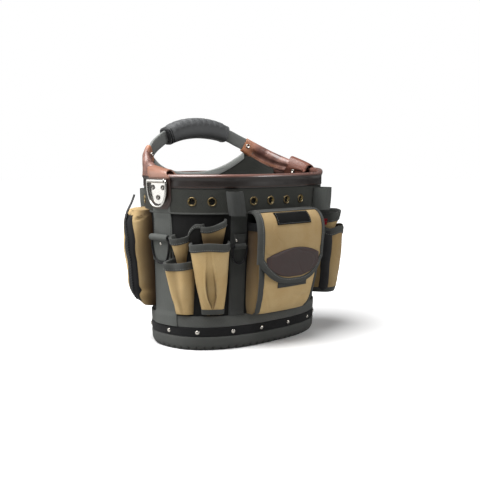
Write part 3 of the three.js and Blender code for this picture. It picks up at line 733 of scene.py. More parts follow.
rim = {"lift": 7, "liftFrom": (90, 170), "liftBetween": (266, 281), "seam": (3.2, 265.2), "seamSteps": 400,
       "profile": [(0.5, 263), (2.6, 262.9), (3.1, 264), (3, 268), (2.9, 272), (2.6, 275), (2.9, 276.6),
                   (3.9, 278.4), (4.3, 280.6), (3.7, 283), (2, 284.7), (-0.9, 285.3), (-3.8, 284.7),
                   (-5.4, 283), (-5.9, 280.6), (-5.4, 278.4), (-4.6, 276.6), (-4.4, 272), (-4.4, 267),
                   (-3.2, 266.2), (-2.8, 268)]}


def rimLift(x, z):
    # the right end is drawn up by the handle
    return rim["lift"] * smoothStep(*rim["liftFrom"], x) * smoothStep(*rim["liftBetween"], z)


def makeRim():
    piece = ringPiece("rimLeather", rim["profile"])
    for vertex in piece.data.vertices:
        vertex.co.z += rimLift(vertex.co.x / mm, vertex.co.z / mm) * mm
    smooth(piece, 60)
    dress(piece, rimLeather, "rim_leather", ["rim_binding"])
    out, z = rim["seam"]
    run = []
    for k in range(rim["seamSteps"] + 1):
        share = k / rim["seamSteps"]
        run.append((ovalPoint(math.tau * share, z, out), wallAxes((share - 0.75) * around, z)[0]))
    stitches("rimStitches", [run], brownThread, "rim_leather", 4.6, 3, 0.45)


makeTub()
makeRings()
makeRivets()
makeGrommets()
makeRim()
print("base, wall and rim made")

# pockets are sewn to the wall on both sides and bulge between; rows are (z, half width, depth)
canvas = {"thick": 2, "skirt": 2}
sectionSteps = 240
sectionTable = {}


def rowAt(pocket, z):
    rows = pocket["rows"]
    for (z0, h0, d0), (z1, h1, d1) in zip(rows, rows[1:]):
        if z <= z1:
            t = max(0, (z - z0) / (z1 - z0))
            return Vector((lerp(h0, h1, t), lerp(d0, d1, t)))
    return Vector(rows[-1][1:])


def sectionAt(pocket, u, z, lift=0):
    # even steps along the bulged section: along, out, and the length of the whole section
    soft = pocket.get("soft", 10)
    half, depth = (rowAt(pocket, z - soft) + rowAt(pocket, z) * 2 + rowAt(pocket, z + soft)) / 4
    key = (round(half + lift, 1), round(depth + lift, 1), pocket["square"])
    if key not in sectionTable:
        run = []
        for k in range(sectionSteps + 1):
            turn = math.pi * k / sectionSteps
            run.append((-signedPower(math.cos(turn), key[2]) * key[0], math.sin(turn) ** key[2] * key[1]))
        lengths = [0]
        for p, q in zip(run, run[1:]):
            lengths.append(lengths[-1] + math.hypot(q[0] - p[0], q[1] - p[1]))
        sectionTable[key] = lengths, run
    lengths, run = sectionTable[key]
    want = min(1, max(0, u)) * lengths[-1]
    i = min(sectionSteps, max(1, bisect.bisect_left(lengths, want)))
    t = (want - lengths[i - 1]) / (lengths[i] - lengths[i - 1])
    return lerp(run[i - 1][0], run[i][0], t), lerp(run[i - 1][1], run[i][1], t), lengths[-1]


def sharpFold(x, y, size, seed):
    # thin creases along the level line of a slow noise, fading in and out
    line = abs(ripple(x, y, size, seed))
    return max(0, 1 - line / 0.07) * smoothStep(-0.1, 0.25, ripple(x, y, size * 1.7, seed + 5))


def slackAt(pocket, u, z):
    # folds and slack in the canvas, none along the side seams
    fade = min(1, 6 * u, 6 * (1 - u))
    slack = pocket.get("slack", 0.8) * fade
    seed = pocket["middle"]
    lift = slack * (ripple(u * 110, z, 46, seed) * 2.2 + ripple(u * 110, z * 0.6, 17, seed + 3) * 0.8)
    lift -= slack * sharpFold(u * 110 + z * 0.3, z * 0.5, 34, seed + 9)
    if "fold" in pocket:
        lift += pocket["fold"](u, z) * fade
    return lift


def mouthAt(pocket, u):
    return pocket["rows"][-1][0] + (pocket["mouth"](u) if "mouth" in pocket else 0)


def skewAt(pocket, z):
    # how far the foot of a pocket stands to the right of its mouth
    low, high = pocket["rows"][0][0], pocket["rows"][-1][0]
    return pocket.get("skew", 0) * (1 - (z - low) / (high - low))


def pocketPoint(pocket, u, z, lift=0):
    along, out = sectionAt(pocket, u, z, lift)[:2]
    extra = slackAt(pocket, u, z)
    along += pocket.get("lean", 0) * min(1, out / 25) + skewAt(pocket, z)
    return wallPoint(pocket["middle"] + along, z, pocket["base"] + max(0, out + extra * min(1, out / 4)))


def pocketNormal(pocket, u, z):
    right = pocketPoint(pocket, min(1, u + 0.01), z) - pocketPoint(pocket, max(0, u - 0.01), z)
    up = pocketPoint(pocket, u, z + 1) - pocketPoint(pocket, u, z - 1)
    return right.cross(up).normalized()


def makePocket(name, pocket, nodes, columns=72, rows=56, closedTop=False, finish=tanCanvas,
               slot="tan_canvas"):
    low, skirt = pocket["rows"][0][0], canvas["skirt"]

    def seamPoint(u, z, rise=0):
        s = pocket["middle"] + sectionAt(pocket, u, z)[0] + skewAt(pocket, z)
        return wallPoint(s, z + rise, pocket["base"])

    def lay(u, v):
        row = round(v * rows)
        top = mouthAt(pocket, u)
        if row < skirt:  # the foot is drawn in to the wall
            return seamPoint(u, low).lerp(pocketPoint(pocket, u, low), row / skirt)
        if closedTop and row > rows - skirt:
            return pocketPoint(pocket, u, top).lerp(seamPoint(u, top, 1.5), (row - rows + skirt) / skirt)
        last = rows - (skirt if closedTop else 0)
        return pocketPoint(pocket, u, lerp(low, top, (row - skirt) / (last - skirt)))

    # painted shade: darker near the wall seams over the recess depth, across the gussets where a pocket has
    # them, scaled with height by dim, and more where the pocket's own function adds it
    def shade(u, v):
        z = lerp(low, mouthAt(pocket, u), v)
        near = 1 - smoothStep(0, pocket.get("recess", 9), sectionAt(pocket, u, z)[1])
        if "gusset" in pocket:
            near = 1 - smoothStep(pocket["gusset"] - 0.012, pocket["gusset"] + 0.012, min(u, 1 - u))
        paintedShade = pocket.get("paintedShade", 0.55) * near ** 0.6
        paintedShade *= pocket["dim"](z) if "dim" in pocket else 1
        if "paintedShadeAt" in pocket:
            paintedShade = max(paintedShade, pocket["paintedShadeAt"](u, z))
        return min(0.95, paintedShade)

    sewnPiece(name, columns, rows, lay, canvas["thick"], 50, finish, slot, nodes, shade=shade)


# bindings: over is (lift, drop as a share of the height) across a folded one
tape = {"over": [(0.1, -1.0), (0.2, -0.98), (0.3, -0.5), (0.25, -0.06), (0, 0.01), (-1, 0.04), (-2, 0.01),
                 (-2.25, -0.06), (-2.25, -0.7)], "thick": 0.7, "clear": 0.5, "welt": 0.9}


def mouthTape(name, pocket, tall, finish=greyBinding, columns=72, start=0, end=1):
    # folded binding over the mouth of a pocket; gives the run of its seam
    rows = len(tape["over"]) - 1

    def lay(u, v):
        lift, drop = tape["over"][round(v * rows)]
        at = lerp(start, end, u)
        z = mouthAt(pocket, at) + drop * tall + (tape["clear"] if drop > 0 else 0)
        return pocketPoint(pocket, at, z, lift)

    sewnPiece(name, columns, rows, lay, tape["thick"], 60, finish, "grey_webbing", offset=1)
    run = []
    for k in range(61):
        u = lerp(start, end, 0.02 + 0.96 * k / 60)
        z = mouthAt(pocket, u) - tall + 2
        run.append((pocketPoint(pocket, u, z, 1.5), pocketNormal(pocket, u, z)))
    return run


def footTape(name, pocket, columns, low, high, lift):
    # flat binding round the foot of a pocket
    sewnPiece(name, columns, 6, lambda u, v: pocketPoint(pocket, u, lerp(low, high, v), lift), tape["welt"],
              40, greyBinding, "grey_webbing")


def cornerAt(pocket, z, side):
    # share of the section at its front corner, side -1 left and 1 right
    half, depth = rowAt(pocket, z)
    low, high = 0, 0.5
    for _ in range(24):
        at = (low + high) / 2
        along, out = sectionAt(pocket, at, z)[:2]
        if out / depth < -along / half:
            low = at
        else:
            high = at
    return low if side < 0 else 1 - low


def seamTape(name, pocket, corner, low, high, wide, rise, finish, slot="grey_webbing"):
    # welted binding up a pocket; corner is a share of its section, or -1 or 1 for its own front corners
    def lay(u, v):
        z = lerp(low, high, v)
        middle = cornerAt(pocket, z, corner) if abs(corner) == 1 else corner
        at = middle + (u - 0.5) * wide / sectionAt(pocket, 0.5, z)[2]
        return pocketPoint(pocket, at, z, 0.15 + rise * math.sin(math.pi * u) ** 0.6)

    sewnPiece(name, 10, 60, lay, tape["welt"], 60, finish, slot)


# pleat that opens downwards and closes at a point
pleat = {"low": 69, "high": 172, "half": 10, "cloth": 98, "deep": 5, "lip": 1.3}


def pleatAt(u, z):
    # offset from the middle of the pleat, its half width, share of its height
    share = max(0, (z - pleat["low"]) / (pleat["high"] - pleat["low"]))
    wide = pleat["half"] * math.sin(math.pi * min(1, share * 4) / 2) * (1 - 0.66 * smoothStep(0.2, 1, share))
    return abs(u - 0.5) * pleat["cloth"], wide, share


# painted shade: dark lines along the pleat's folds and a little inside it, fading out towards the top
def pleatShade(u, z):
    offset, wide, share = pleatAt(u, z)
    lines = 0.6 * hump(offset - wide + 1.2, 1.7)
    inside = 0.14 * (1 - smoothStep(wide - 2, wide, offset))
    return max(lines, inside) * smoothStep(0, 0.08, share) * (1 - 0.9 * smoothStep(0.4, 0.75, share))


def pleatFold(u, z):
    offset, wide, share = pleatAt(u, z)
    inside = 1 - smoothStep(wide - 1.2, wide + 0.2, offset)
    lip = hump(offset - wide - 1.3, 1.6)
    fade = smoothStep(0, 0.1, share) * (1 - 0.85 * smoothStep(0.35, 0.8, share))
    return (pleat["lip"] * lip - pleat["deep"] * inside) * fade


# painted shade: the tall and narrow pockets darkened all over and more low down behind the mouths of the
# pockets in front, the left pocket along its middle fold, the middle pocket along its pleat
tallPocket = {"middle": -132, "base": 0.3, "square": 0.55, "slack": 0.5,
              "rows": [(150, 12, 4), (180, 16, 8), (203, 20, 13)],
              "mouth": lambda u: 11 * smoothStep(0.3, 1, u) - 1.5 * math.sin(math.pi * u),
              "paintedShadeAt": lambda u, z: 0.34 + 0.48 * (1 - smoothStep(180, 200, z))}
narrowPocket = {"middle": -181, "base": 0.3, "square": 0.8, "lean": -9, "slack": 0.4,
                "rows": [(132, 5, 5), (150, 7, 9), (172, 11, 14), (188, 16, 18)],
                "mouth": lambda u: 2 * u - 7 * math.sin(math.pi * u),
                "paintedShadeAt": lambda u, z: 0.15 + 0.45 * (1 - smoothStep(146, 172, z))}
backPocket = {"middle": -158, "base": 0.3, "square": 0.7, "rows": [(150, 8, 3), (196, 12, 9)],
              "mouth": lambda u: 18 * smoothStep(0, 0.55, u) - 8, "slack": 0.3}
leftPocket = {"middle": -178, "base": 0.3, "square": 0.75, "lean": -9, "slack": 0.9,
              "rows": [(60, 15, 6), (100, 17, 18), (148, 18.5, 27)],
              "mouth": lambda u: 2 * math.cos(math.tau * u * 1.2) - 1.5 * math.sin(math.pi * u) - 4 * u,
              "paintedShadeAt": lambda u, z: 0.3 * hump(u - 0.52, 0.085),
              "fold": lambda u, z: 3.6 * math.cos((u - 0.75) * 14) * smoothStep(60, 130, z)}
middlePocket = {"middle": -135, "base": 0.3, "square": 0.75, "lean": -4, "skew": 5, "slack": 0.7,
                "rows": [(61, 17.5, 8), (110, 24.5, 22), (176, 29.5, 31)],
                "mouth": lambda u: 1.5 * (u - 0.5) + 1.2 * math.cos(math.tau * u * 2),
                "fold": pleatFold, "paintedShadeAt": pleatShade}
middleFoot = dict(middlePocket, middle=-130, skew=0, fold=lambda u, z: 0,
                  rows=[(61, 17.5, 8.5), (69.5, 18.5, 12)])


def makeToolPockets():
    for name, pocket, columns, rows in (("tall", tallPocket, 60, 36), ("narrow", narrowPocket, 48, 36),
                                        ("left", leftPocket, 72, 56), ("middle", middlePocket, 132, 70)):
        makePocket(name + "ToolPocket", pocket, ["tool_pocket_" + name], columns, rows)
    makePocket("backToolPocket", backPocket, [], 40, 24, finish=darkNylon, slot="dark_nylon")
    runs = []
    for name, pocket, tall in (("tall", tallPocket, 8.5), ("narrow", narrowPocket, 9),
                               ("back", backPocket, 5), ("left", leftPocket, 10.5),
                               ("middle", middlePocket, 11)):
        runs.append(mouthTape(name + "MouthTape", pocket, tall))
    stitches("mouthStitches", runs, thread, "grey_webbing", *fineStitch)
    footTape("middlePocketFoot", middleFoot, 60, 61.3, 69.5, 1)


innerPouch = {"middle": 152, "base": 0.7, "square": 0.5, "rows": [(120, 24, 8), (180, 36, 30), (206, 39, 41)],
              "mouth": lambda u: 2 * u + 8 * math.sin(math.pi * u) ** 0.7, "slack": 0.8,
              "tag": (0.07, 0.15), "tagLow": 192, "tagHigh": 203}
# painted shade: the whole outer pouch darkened
outerPouch = {"middle": 152, "base": 0.7, "square": 0.5, "slack": 1.2,
              "rows": [(72, 38, 36), (80, 40, 42), (120, 43, 46), (186, 43, 47.5)],
              "mouth": lambda u: 3 * math.sin(u * 26) * (1 - u) + 1, "paintedShadeAt": lambda u, z: 0.34}
outerFoot = {"middle": 152, "base": 0.7, "square": 0.5, "slack": 0,
             "rows": [(71.2, 38.5, 36.5), (82, 40, 43)]}


def makeSidePouches():
    makePocket("innerSidePouch", innerPouch, ["side_pouch_inner"])
    makePocket("outerSidePouch", outerPouch, ["side_pouch_outer"])
    runs = [mouthTape("innerPouchTape", innerPouch, 15), mouthTape("outerPouchTape", outerPouch, 11)]
    stitches("pouchStitches", runs, thread, "grey_webbing", *fineStitch)
    for side, corner in (("Front", 0.15), ("Back", 0.85)):
        seamTape("outerPouchSeam" + side, outerPouch, corner, 73, 182, 16, 0.9, seamWebbing, "black_webbing")
    footTape("outerPouchFoot", outerFoot, 72, 71.6, 80, 0.8)

    def tag(u, v):
        z = lerp(innerPouch["tagLow"], innerPouch["tagHigh"], v)
        return pocketPoint(innerPouch, lerp(*innerPouch["tag"], u), z, 1.2)

    sewnPiece("redTag", 6, 8, tag, 0.8, 40, redCloth, "label_cloth")  # small folded tag in the side seam


def zipFolds(u, z):
    # pinched crease under the top on the side facing the end, slack at the foot
    crease = hump(z - 210 - 45 * (u - 0.78), 1.8) * smoothStep(0.76, 0.82, u)
    foot = hump(z - 93 + 26 * (u - 0.8), 5) * smoothStep(0.72, 0.82, u)
    drape = hump(z - 190 + 60 * (u - 0.8), 7) * smoothStep(0.78, 0.9, u)
    return -8 * crease - 5.5 * foot - 2.5 * drape + 2.5 * hump(z - 150, 40)


def zipShade(u, z):
    # painted shade in the crease under the top, along the fold at the foot, and a little near the top
    crease = hump(z - 210 - 45 * (u - 0.78), 1.3) * smoothStep(0.77, 0.81, u)
    foot = hump(z - 88 + 20 * (u - 0.8), 4) * smoothStep(0.78, 0.86, u)
    return max(0.85 * crease, 0.6 * foot, 0.18 * smoothStep(200, 214, z))


# painted shade on the pocket, darkest towards the wall seams over its whole depth
zipPocket = {"middle": -292, "base": 0.7, "square": 0.45, "slack": 1.8, "soft": 6, "paintedShade": 0.95, "recess": 37,
             "fold": zipFolds, "paintedShadeAt": zipShade,
             "rows": [(66, 37, 15), (72, 41, 25), (84, 42, 34), (102, 42.3, 38), (150, 42.5, 39.5),
                      (209, 42.5, 38), (220, 41, 33), (225, 38, 25)],
             "zip": 0.73, "zipWide": 21, "zipLow": 74, "zipHigh": 217, "zipThick": 0.8, "teeth": 66,
             "teethLift": 2, "pull": (10, -9, 36)}


def makeZipPocket():
    makePocket("zipPocketShell", zipPocket, ["zip_pocket"], 96, 80, True)
    wide, lift = zipPocket["zipWide"], zipPocket["teethLift"]

    def onZip(across, v, lift):
        z = lerp(zipPocket["zipLow"], zipPocket["zipHigh"], v)
        length = sectionAt(zipPocket, 0.75, z)[2]
        # both ends turn out to the edge
        drift = 0.055 * smoothStep(0.68, 1, v) + 0.03 * (1 - smoothStep(0, 0.22, v))
        return pocketPoint(zipPocket, zipPocket["zip"] - drift + across / length, z, lift)

    def backing(u, v):
        return onZip((u - 0.5) * wide, v, 0.2 + 0.9 * math.sin(math.pi * u) ** 0.4)

    sewnPiece("zipTape", 12, 90, backing, zipPocket["zipThick"], 60, blackWebbing, "black_webbing")
    places = []  # teeth either side of the middle
    for k in range(zipPocket["teeth"]):
        v = 0.015 + k / (zipPocket["teeth"] + 2)
        up = (onZip(0, v + 0.01, lift) - onZip(0, v - 0.01, lift)).normalized()
        right = onZip(1, v, lift) - onZip(-1, v, lift)
        places.append((onZip(0.7 if k % 2 else -0.7, v, lift), right.cross(up).normalized(), up))
    dress(scatter("zipTeeth", blockModel(3, 1.1, 1.6, 0.3, 1), places), blackPlastic, "black_metal")
    # slider at the top with its thin stiff pull standing up
    top = onZip(0, 0.985, 2.6)
    up = (onZip(0, 0.98, lift) - onZip(0, 0.9, lift)).normalized()
    right = (onZip(2, 0.98, lift) - onZip(-2, 0.98, lift)).normalized()
    outwards = right.cross(up)
    slider = scatter("zipSlider", blockModel(7, 10, 4, 1.4, 3), [(top, outwards, up)])
    dress(slider, blackMetal, "black_metal")
    end = top + Vector(zipPocket["pull"]) * mm
    frames = levelFrames(curvePath([top + outwards * 2 * mm, top.lerp(end, 0.3) + outwards * 1.5 * mm,
                                    top.lerp(end, 0.65), end], 20))

    def lay(i, a, b):
        point, side, rise = frames[i]
        return point + (side * a + rise * b) * (1.2 if i < 4 else 1.9) * mm

    pull = tubePiece("zipPull", len(frames), lens(10, 1, 1), lay)
    dress(roundOff(pull), gripRubber, "grip_rubber")


makeToolPockets()
makeSidePouches()
makeZipPocket()
print("pockets made")


# flap pouch: gusseted box of canvas, welted front corners, flap cut flat and folded over
def pouchFolds(u, z):
    # the gussets pinch in, and the front creases where the foot is drawn under
    pinch = -4.5 * max(hump(u - 0.09, 0.045), hump(u - 0.91, 0.045)) * smoothStep(80, 150, z)
    crease = hump(z - 74 - (u - 0.5) * 34, 4) * smoothStep(0.55, 0.66, u) * (1 - smoothStep(0.74, 0.8, u))
    other = hump(z - 88 + (u - 0.5) * 50, 4) * smoothStep(0.5, 0.58, u) * (1 - smoothStep(0.68, 0.76, u))
    return pinch - 1.6 * crease - 1.3 * other + 2.2 * math.sin(math.pi * u) * smoothStep(65, 100, z)


# painted shade on the gussets, darker towards the top under the flap
pouch = {"middle": -6, "base": 0.7, "square": 0.36, "slack": 0.9, "soft": 4, "paintedShade": 0.9, "gusset": 0.165,
         "fold": pouchFolds, "dim": lambda z: 0.68 + 0.32 * smoothStep(70, 170, z),
         "rows": [(57.5, 62.5, 17), (61, 64, 22), (70, 66, 28), (84, 66.5, 32), (120, 67, 36), (206, 67, 36)],
         "welt": 8, "weltRise": 2.2, "weltLow": 58, "weltHigh": 200, "mouthTape": 11}
# over is the flap's side view from the wall seam down the front, as (out, z)
flap = {"half": 68.5, "middle": -7, "thick": 2.5, "tape": 8, "lowZ": 107, "rise": 40, "power": 3,
        "topTape": (24, 3), "topSeam": 22.4, "tapeEnd": 5,
        "over": [(0.6, 225.5), (8, 227.2), (18, 226.4), (28, 222), (36, 213), (40, 202), (42, 188),
                 (42.6, 165), (42.2, 135), (41.6, 100)]}
flapLine = curvePath([(out, z, 0) for out, z in flap["over"]], 240)
flapLengths = runLengths(flapLine)


def flapLengthAt(z):
    # cloth length from the wall seam to height z on the front
    for i in range(len(flapLine) - 1, 0, -1):
        if flapLine[i].y >= z:
            return flapLengths[i]
    return 0


def flapEdge(x):
    u = abs(x) / flap["half"]
    return flapLengthAt(flap["lowZ"]) - flap["rise"] * u ** flap["power"]


def flapPoint(x, y, lift=0):
    # x and y are on the flat cloth, from its middle and from the wall seam
    y = min(flapLengths[-1] - 0.5, max(0.01, y))
    i = min(len(flapLine) - 1, max(1, bisect.bisect_left(flapLengths, y)))
    t = (y - flapLengths[i - 1]) / (flapLengths[i] - flapLengths[i - 1])
    point = flapLine[i - 1].lerp(flapLine[i], t)
    run = (flapLine[min(i + 3, len(flapLine) - 1)] - flapLine[max(i - 4, 0)]).normalized()
    u = x / flap["half"]
    front = smoothStep(20, 50, y)
    slack = 1.5 * ripple(x, y, 45, 2) - 0.8 * sharpFold(x, y, 40, 4)
    lift += front * (slack - 2.6 * u ** 4 + 1.6 * smoothStep(110, 150, y) * (1 - u * u))
    lift -= 1.5 * (1 - front) * u ** 6
    return wallPoint(flap["middle"] + x, point.y + run.x * lift, point.x - run.y * lift)


def flapNormal(x, y):
    right = flapPoint(x + 0.5, y) - flapPoint(x - 0.5, y)
    return right.cross(flapPoint(x, y - 0.5) - flapPoint(x, y + 0.5)).normalized()


def edgeTape(name, edge, columns, lift=0):
    # binding folded round a flap edge; edge gives (x, y) and the inward direction on the flat cloth
    wide = flap["tape"]
    across = [(wide * 0.7, -2.75), (0.6, -2.75), (-0.3, -2.2), (-0.6, -1.2), (-0.3, -0.1), (0.5, 0.35),
              (wide * 0.5, 0.45), (wide - 0.3, 0.4), (wide, 0.15)]
    rows = len(across) - 1

    def inside(share, depth):
        x, y, ix, iy = edge(share)
        return x + ix * depth, y + iy * depth

    def lay(u, v):
        depth, rise = across[round(v * rows)]
        return flapPoint(*inside(u, depth), rise + (lift if rise > 0 else -lift))

    sewnPiece(name, columns, rows, lay, tape["welt"], 60, greyBinding, "grey_webbing", offset=1)
    run = []
    for k in range(81):
        spot = inside(0.01 + 0.98 * k / 80, wide - 2)
        run.append((flapPoint(*spot, 1.4 + lift), flapNormal(*spot)))
    return run


def lowerEdge(u):
    half = flap["half"]
    x = half * (2 * u - 1) * 0.995
    dx = 0.2
    slope = (flapEdge(min(half, x + dx)) - flapEdge(max(-half, x - dx))) / (2 * dx)
    length = math.hypot(1, slope)
    return x, flapEdge(x), slope / length, -1 / length


def makeFlapPouch():
    makePocket("flapPouchBody", pouch, ["pouch_body"], 150, 76)
    for side, corner in (("Left", -1), ("Right", 1)):
        seamTape("pouchWelt" + side, pouch, corner, pouch["weltLow"], pouch["weltHigh"], pouch["welt"],
                 pouch["weltRise"], greyBinding)
    for side, start, end in (("Left", 0, 0.17), ("Right", 0.83, 1)):
        mouthTape("gussetTape" + side, pouch, pouch["mouthTape"], blackWebbing, 20, start, end)
    half = flap["half"]

    def sheet(u, v):
        x = half * (2 * u - 1)
        return flapPoint(x, flapEdge(x) * (1 - v))

    # painted shade: the whole flap darkened, more towards its left side
    sewnPiece("pouchFlap", 72, 90, sheet, flap["thick"], 50, tanCanvas, "tan_canvas", ["pouch_flap"],
              shade=lambda u, v: 0.2 + 0.08 * (1 - smoothStep(0.1, 0.6, u)))
    sideEnd = flapEdge(half) + flap["tapeEnd"]
    runs = [edgeTape("flapTapeLeft", lambda u: (-half, lerp(4, sideEnd, u), 1, 0), 60),
            edgeTape("flapTapeRight", lambda u: (half, lerp(sideEnd, 4, u), -1, 0), 60),
            edgeTape("flapTapeLower", lowerEdge, 90, 0.5)]

    def topTape(u, v):
        return flapPoint(half * (2 * u - 1), lerp(*flap["topTape"], v), 0.35)

    sewnPiece("flapTapeTop", 60, 8, topTape, tape["welt"], 60, greyBinding, "grey_webbing", offset=1)
    seam = [(half * (2 * k / 60 - 1) * 0.97, flap["topSeam"]) for k in range(61)]
    runs.append([(flapPoint(*spot, 1.4), flapNormal(*spot)) for spot in seam])
    stitches("flapStitches", runs, thread, "grey_webbing", *fineStitch)


def borderRun(flat, inU, inV, steps, lift):
    # closed seam just inside the edge of a piece on the flap
    corners = [(inU, inV), (1 - inU, inV), (1 - inU, 1 - inV), (inU, 1 - inV), (inU, inV)]
    run = []
    for (u0, v0), (u1, v1) in zip(corners, corners[1:]):
        for k in range(steps):
            spot = flat(lerp(u0, u1, k / steps), lerp(v0, v1, k / steps))
            run.append((flapPoint(*spot, lift), flapNormal(*spot)))
    return run


patch = {"reach": 56.5, "topZ": 166, "fall": 14, "margin": 10.5, "rise": 1.8, "thick": 1.4}


def patchFlat(u, v):
    # flat place on the flap: arched top, bottom following the flap
    x = patch["reach"] * (2 * u - 1)
    share = x / patch["reach"]
    top = flapLengthAt(patch["topZ"]) + patch["fall"] * share * share
    low = max(top + 1, flapEdge(x) - patch["margin"])
    return x, lerp(low, top, v)


def makePatch():
    def lay(u, v):
        edge = min(u, 1 - u, v, 1 - v)
        return flapPoint(*patchFlat(u, v), 0.4 + patch["rise"] * smoothStep(-0.01, 0.03, edge))

    sewnPiece("flapPatch", 80, 40, lay, patch["thick"], 60, patchLeather, "patch_leather", ["flap_patch"])
    border = borderRun(patchFlat, 0.06, 0.1, 40, 0.35 + patch["rise"])
    stitches("patchStitches", [border], brownThread, "patch_leather", 3.4, 2.3, 0.35)


label = {"reach": 36, "middle": -3, "low": 50, "high": 27, "thick": 0.9}
closure = {"share": (0.33, 0.67), "low": 101, "high": 112, "lift": 1.3, "thick": 1}


def makeLabel():
    def flat(u, v):
        return label["middle"] + label["reach"] * (2 * u - 1), lerp(label["low"], label["high"], v)

    sewnPiece("flapLabel", 40, 16, lambda u, v: flapPoint(*flat(u, v), 1.3), label["thick"], 60,
              labelCloth, "label_cloth", ["flap_label"])
    stitches("labelStitches", [borderRun(flat, 0.03, 0.08, 24, 1.35)], thread, "label_cloth", 3, 2, 0.28)

    def strip(u, v):
        z = lerp(closure["low"], closure["high"], v)
        return pocketPoint(pouch, lerp(*closure["share"], u), z, closure["lift"])

    sewnPiece("closureStrip", 40, 10, strip, closure["thick"], 60, darkWebbing, "label_cloth",
              ["closure_strip"])


makeFlapPouch()
makePatch()
makeLabel()
print("flap pouch made")

# webbing straps sewn flat to the wall, with stitched edges
straps = {"corner": 90, "cornerWide": 28, "cornerFoot": 57.7, "cornerTop": 221.6, "endLow": 58,
          "endHigh": 41, "endFoot": 38.6, "endTop": 258, "thick": 1.9, "seat": 2.25, "seam": 2.5,
          "seamLow": 60, "seamHigh": 212}
# tool loops: place on the wall, lean to the side, foot, half width, depth and webbing
loops = {"at": 96, "tall": 38.5, "thick": 2}
toolLoops = {"FrontLeft": ("front_left", -loops["at"], -6, 220, 11.5, 19, darkWebbing),
             "FrontRight": ("front_right", loops["at"], 0, 221, 15, 25, loopWebbing),
             "BackLeft": ("back_left", toBack(-loops["at"]), 0, 218.5, 13, 25, loopWebbing),
             "BackRight": ("back_right", toBack(loops["at"]), 0, 218.5, 13, 25, loopWebbing)}


def makeStraps():
    places = [("endStrapLeft", "end_strap_left", leftEnd), ("endStrapRight", "end_strap_right", rightEnd)]
    for side, s in (("Left", -straps["corner"]), ("Right", straps["corner"])):
        for face, at in (("Front", s), ("Back", toBack(s))):
            node = "corner_strap_" + face.lower() + "_" + side.lower()
            places.append(("cornerStrap" + face + side, node, at))
    runs = []
    for name, node, s in places:
        isEnd = name.startswith("end")
        kind = "end" if isEnd else "corner"
        finish, slot = (greyWebbing, "grey_webbing") if isEnd else (darkWebbing, "dark_webbing")

        def wideAt(z):
            if isEnd:
                return lerp(straps["endLow"], straps["endHigh"], (z - 40) / 180)
            return straps["cornerWide"]

        def lay(u, v):
            side = 2 * u - 1
            z = lerp(straps[kind + "Foot"], straps[kind + "Top"], v)
            # over the hem and the eyelet band
            over = 2.3 * (1 - smoothStep(55, 62, z)) + 1.2 * smoothStep(213, 221, z)
            return wallPoint(s + side * wideAt(z) / 2, z, straps["seat"] - 0.5 * side ** 8 + over)

        sewnPiece(name, 16, 60, lay, straps["thick"], 60, finish, slot, [node])
        low, high = straps["seamLow"], straps["seamHigh"]
        for side in (-1, 1):
            s0, s1 = (s + side * (wideAt(z) / 2 - straps["seam"]) for z in (low, high))
            runs.append(wallRun(s0, s1, low, high, 2.3))
    stitches("strapStitches", runs, darkThread, "grey_webbing", 4.4, 3, 0.35)


def makeToolLoops():
    for name, (node, s, lean, low, half, depth, finish) in toolLoops.items():
        high = low + loops["tall"]
        loop = {"base": 2.6, "square": 0.62, "slack": 0, "rows": [(low, half, depth), (high, half, depth)]}

        def wrap(u, v):
            leaning = dict(loop, middle=s + lean * v)
            return pocketPoint(leaning, u, lerp(low, high, v), 0.6 * math.sin(math.pi * v))

        sewnPiece("toolLoop" + name, 60, 20, wrap, loops["thick"], 60, finish, "dark_webbing",
                  ["tool_loop_" + node])


# leather tabs over the rim at both ends; path is the side view as (out, z), from the outer to the inner foot
tab = {"wide": 46, "thick": 2.2, "steps": 70, "seam": 19.5, "seamLow": 246, "seamHigh": 276,
       "rivet": 14, "rivetZ": 278, "rivetOut": -15.5, "rivetRadius": 3.4,
       "Left": {"s": leftEnd, "side": -1, "shift": -9, "slope": -4, "rise": 3.5,
                "path": [(4.4, 229), (4.5, 245), (4.5, 262), (5.2, 274), (6.4, 281), (5.4, 287), (1, 291),
                         (-6, 293), (-12, 291.5), (-16, 286), (-16.5, 280), (-13, 274), (-7.6, 268),
                         (-6.7, 257), (-6.6, 245)]},
       "Right": {"s": rightEnd, "side": 1, "shift": -14, "slope": 7.5, "rise": -6,
                 "path": [(4.4, 229), (4.5, 245), (4.5, 262), (4.7, 275), (4.9, 288), (3.6, 296), (-1, 302),
                          (-7, 304), (-13, 302), (-17, 295), (-17.6, 286), (-13, 277), (-7.4, 270),
                          (-6.7, 257), (-6.6, 245)]}}


